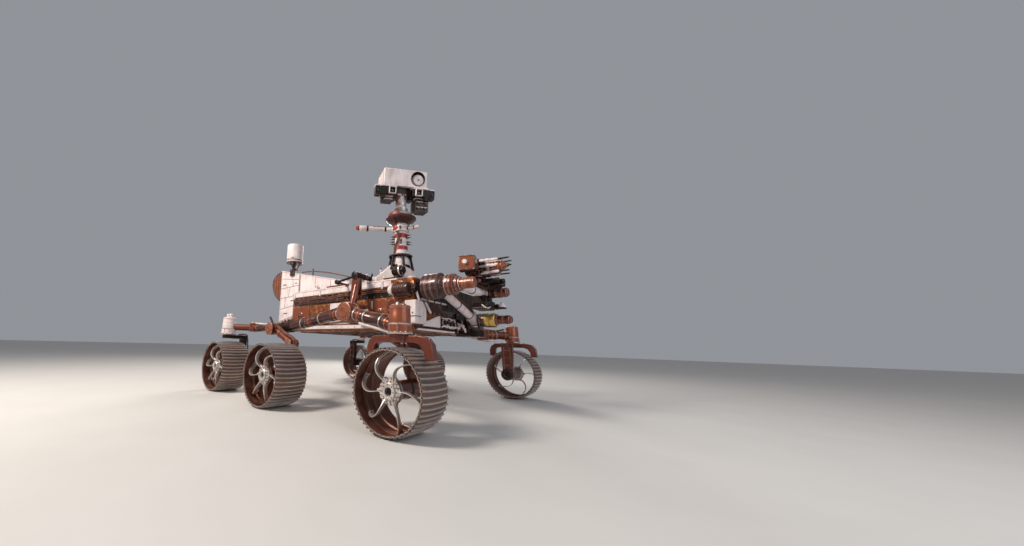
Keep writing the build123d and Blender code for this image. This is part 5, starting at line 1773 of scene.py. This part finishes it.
# %% [markdown]
# The front wall carries a ribbed barrel on its right corner, a pale corner box, a low sloping shield, two
# pairs of close-range cameras and the arm's mount.

# %% Front right corner
ribs = [(30, 0), (52, 4)]
for k in range(7):
    x = 10 + 19 * k
    ribs += [(56, x), (60, x + 3), (60, x + 11), (56, x + 14)]
ribs += [(54, 150), (40, 156)]
form.lathe(ribs, frame_to((825, -640, 1000), AHEAD))
form.box((835, -640, 944), (975, -598, 1052))
form.done("corner_barrel", umber, replaces="corner_box", bevel=1.5)
form.lathe([(52, 0), (50, 12), (36, 50), (30, 52)], frame_to((826, -640, 1000), -AHEAD), 48)
form.plate([(-642, 715), (-470, 715), (-470, 840), (-530, 905), (-642, 905)], 105,
    move((930, 0, 0)) @ turn(90, "Z") @ UPRIGHT)
form.tube((1028, -575, 900), (1010, -590, 985), 10, count=16)
form.tube((1020, -470, 905), (1008, -360, 820), 12, count=16)
form.done("corner_shell", white, bevel=6)
knob = frame_to((985, -600, 1000), AHEAD)
form.lathe([(40, 0), (40, 8), (30, 10), (30, 30), (22, 34)], knob, 32)
form.bolts((985, -600, 1000), AHEAD, 36, 8, 7, 18)
form.box((940, -645, 770), (1036, -560, 776))
form.bolts((978, -642.5, 800), (0, -1, 0), 30, 4, 6, 5)
form.done("corner_knob", dark)

# Low shield with the rail under it
shield = move((990, 0, 0)) @ turn(90, "Z") @ UPRIGHT
form.plate([(-470, 704), (-170, 704), (-170, 812), (-215, 806), (-470, 728)], 12, shield)
form.box((992, -560, 666), (1012, 100, 682))
form.tube((1002, -550, 928), (1002, -60, 928), 9, count=16)
form.done("front_shield", white, bevel=2)
form.box((990, -590, 686), (1010, 110, 700))
for y in (-540, -420, -300, -180, -60):
    form.box((990, y, 918), (1014, y + 14, 940))
form.done("front_rail", dark, bevel=2)

# Dark cover with ribs high on the front: its dark is painted shade under the deck's edge.
form.box((990, -120, 868), (999, 557, 1098))
for k in range(6):
    form.box((994, -30 + 110 * k, 880), (1006, -18 + 110 * k, 1090))
form.done("front_cover", dark, bevel=2)

# %% Close-range cameras
# Cameras: place across, height and radius of the lens
CLOSE_CAMERAS = [(-128, 757, 17), (-74, 757, 17), (-6, 748, 20), (46, 748, 20)]
form.box((990, -172, 698), (1004, 108, 800))
for y, z, radius in CLOSE_CAMERAS:
    barrel = [(radius + 4, 0), (radius + 4, 26), (radius, 34), (radius * 0.7, 33.5)]
    form.lathe(barrel, frame_to((1000, y, z), AHEAD), 32)
form.done("close_bodies", dark, replaces="front_cameras", bevel=1.5)
for y, z, radius in CLOSE_CAMERAS:
    form.band(frame_to((1000, y, z), AHEAD), radius + 4, radius + 8, 8, 16, count=32)
    form.box((1004, y - radius, z - radius - 24), (1020, y + radius, z - radius - 8))
for y in (-120, -40, 40, 130, 200):
    form.path([(1012, y - 50, 712), (1030, y - 30, 722), (1034, y, 715), (1028, y + 30, 724),
        (1012, y + 52, 790), (1008, y + 44, 798)], 7.5)
form.path([(1008, -160, 795), (1020, -100, 790), (1014, -40, 800), (1022, 30, 788), (1010, 100, 796)], 6)
for k in range(4):
    form.path([(1030, 126, 700 + 20 * k), (1060 + 10 * k, 112, 742), (1094, 108, 716),
        (1112, 116, 676 + 12 * k)], 7.5)
form.done("close_straps", white)
for y, z, radius in CLOSE_CAMERAS:
    form.lathe([(radius * 0.72, 28), (radius * 0.72, 31), (radius * 0.4, 34)], frame_to((1000, y, z), AHEAD),
        28)
form.done("close_lenses", glass)

# %% Arm mount
soften("arm_mount", 6)
for y in (150, 350):
    for z in (680, 725, 770, 815, 845):
        form.stud(frame_to((1014, y, z), AHEAD), 8, 5, 5, 7, 6)
form.bolts((1150, 250, 640), -UP, 60, 10, 7, 6)
form.done("mount_bolts", steel)
for y in (168, 320):
    rib = move((0, y + 12, 0)) @ UPRIGHT
    form.plate([(1012, 640), (1130, 640), (1130, 652), (1050, 664), (1012, 664)], 12, rib)
    form.plate([(1012, 700), (1060, 700), (1022, 840), (1012, 840)], 10, rib)
form.done("mount_ribs", umber, bevel=3)
print("front dressed")

# %% [markdown]
# The remaining solids keep their own shape and get their finishes from the record's slots, except the rear
# knuckles, which are made dark as painted shade. The stage is a pale floor under one large warm lamp from the
# left and a weaker, cooler one from the right, as sunlight and a bright sky would give. A sun lamp would be
# closer to the photograph's light, but its hard shadows hide the machine's underside.

# %% Finishes of the frame's own solids
slots = {part["node"]: part["material_slot"] for part in frame["record"]["subparts"]}
for name, node in nodes.items():
    node.data.materials.clear()
    # The rear knuckles, bronze in the record like the front ones, are made dark: painted shade on the rear
    # legs behind the wheels.
    node.data.materials.append(dark if name.startswith("knuckle_rear") else FINISHES[slots[name]])

# %% Floor, lamps and sky
FLOOR_HALF = 40000
LAMP_AIM = Vector((0, 0, 0.8))
LAMPS = [  # name, place, colour, watts, size
    ("key", (-1.5, -5.5, 5), (1, 0.93, 0.84), 470, 1.6),
    ("fill", (5.5, -1.5, 3), (0.86, 0.92, 1), 80, 3.5),
    ("back", (-3.5, 4.5, 4), (1, 0.95, 0.9), 220, 2.5),
]
form.box((-FLOOR_HALF, -FLOOR_HALF, -20), (FLOOR_HALF, FLOOR_HALF, 0))
floor_finish = Finish("floor")
grain = floor_finish.noise(0.4, detail=3)
floor_finish.wire(
    Base_Color=floor_finish.mix(grain, rgb(0.6, 0.57, 0.54), rgb(0.66, 0.63, 0.6)),
    Roughness=0.9,
)
form.object("floor", floor_finish.material)

for name, at, colour, watts, size in LAMPS:
    data = bpy.data.lights.new(name, "AREA")
    data.energy = watts
    data.color = colour
    data.size = size
    lamp = bpy.data.objects.new(name, data)
    lamp.location = at
    lamp.rotation_euler = (LAMP_AIM - Vector(at)).to_track_quat("-Z", "Y").to_euler()
    bpy.context.scene.collection.objects.link(lamp)

world = bpy.data.worlds.new("world")
bpy.context.scene.world = world
world.use_nodes = True
background = world.node_tree.nodes["Background"]
background.inputs["Color"].default_value = rgb(0.88, 0.92, 1)
background.inputs["Strength"].default_value = 0.32
bpy.context.scene.view_settings.view_transform = "Standard"
print("lamps", len(LAMPS))
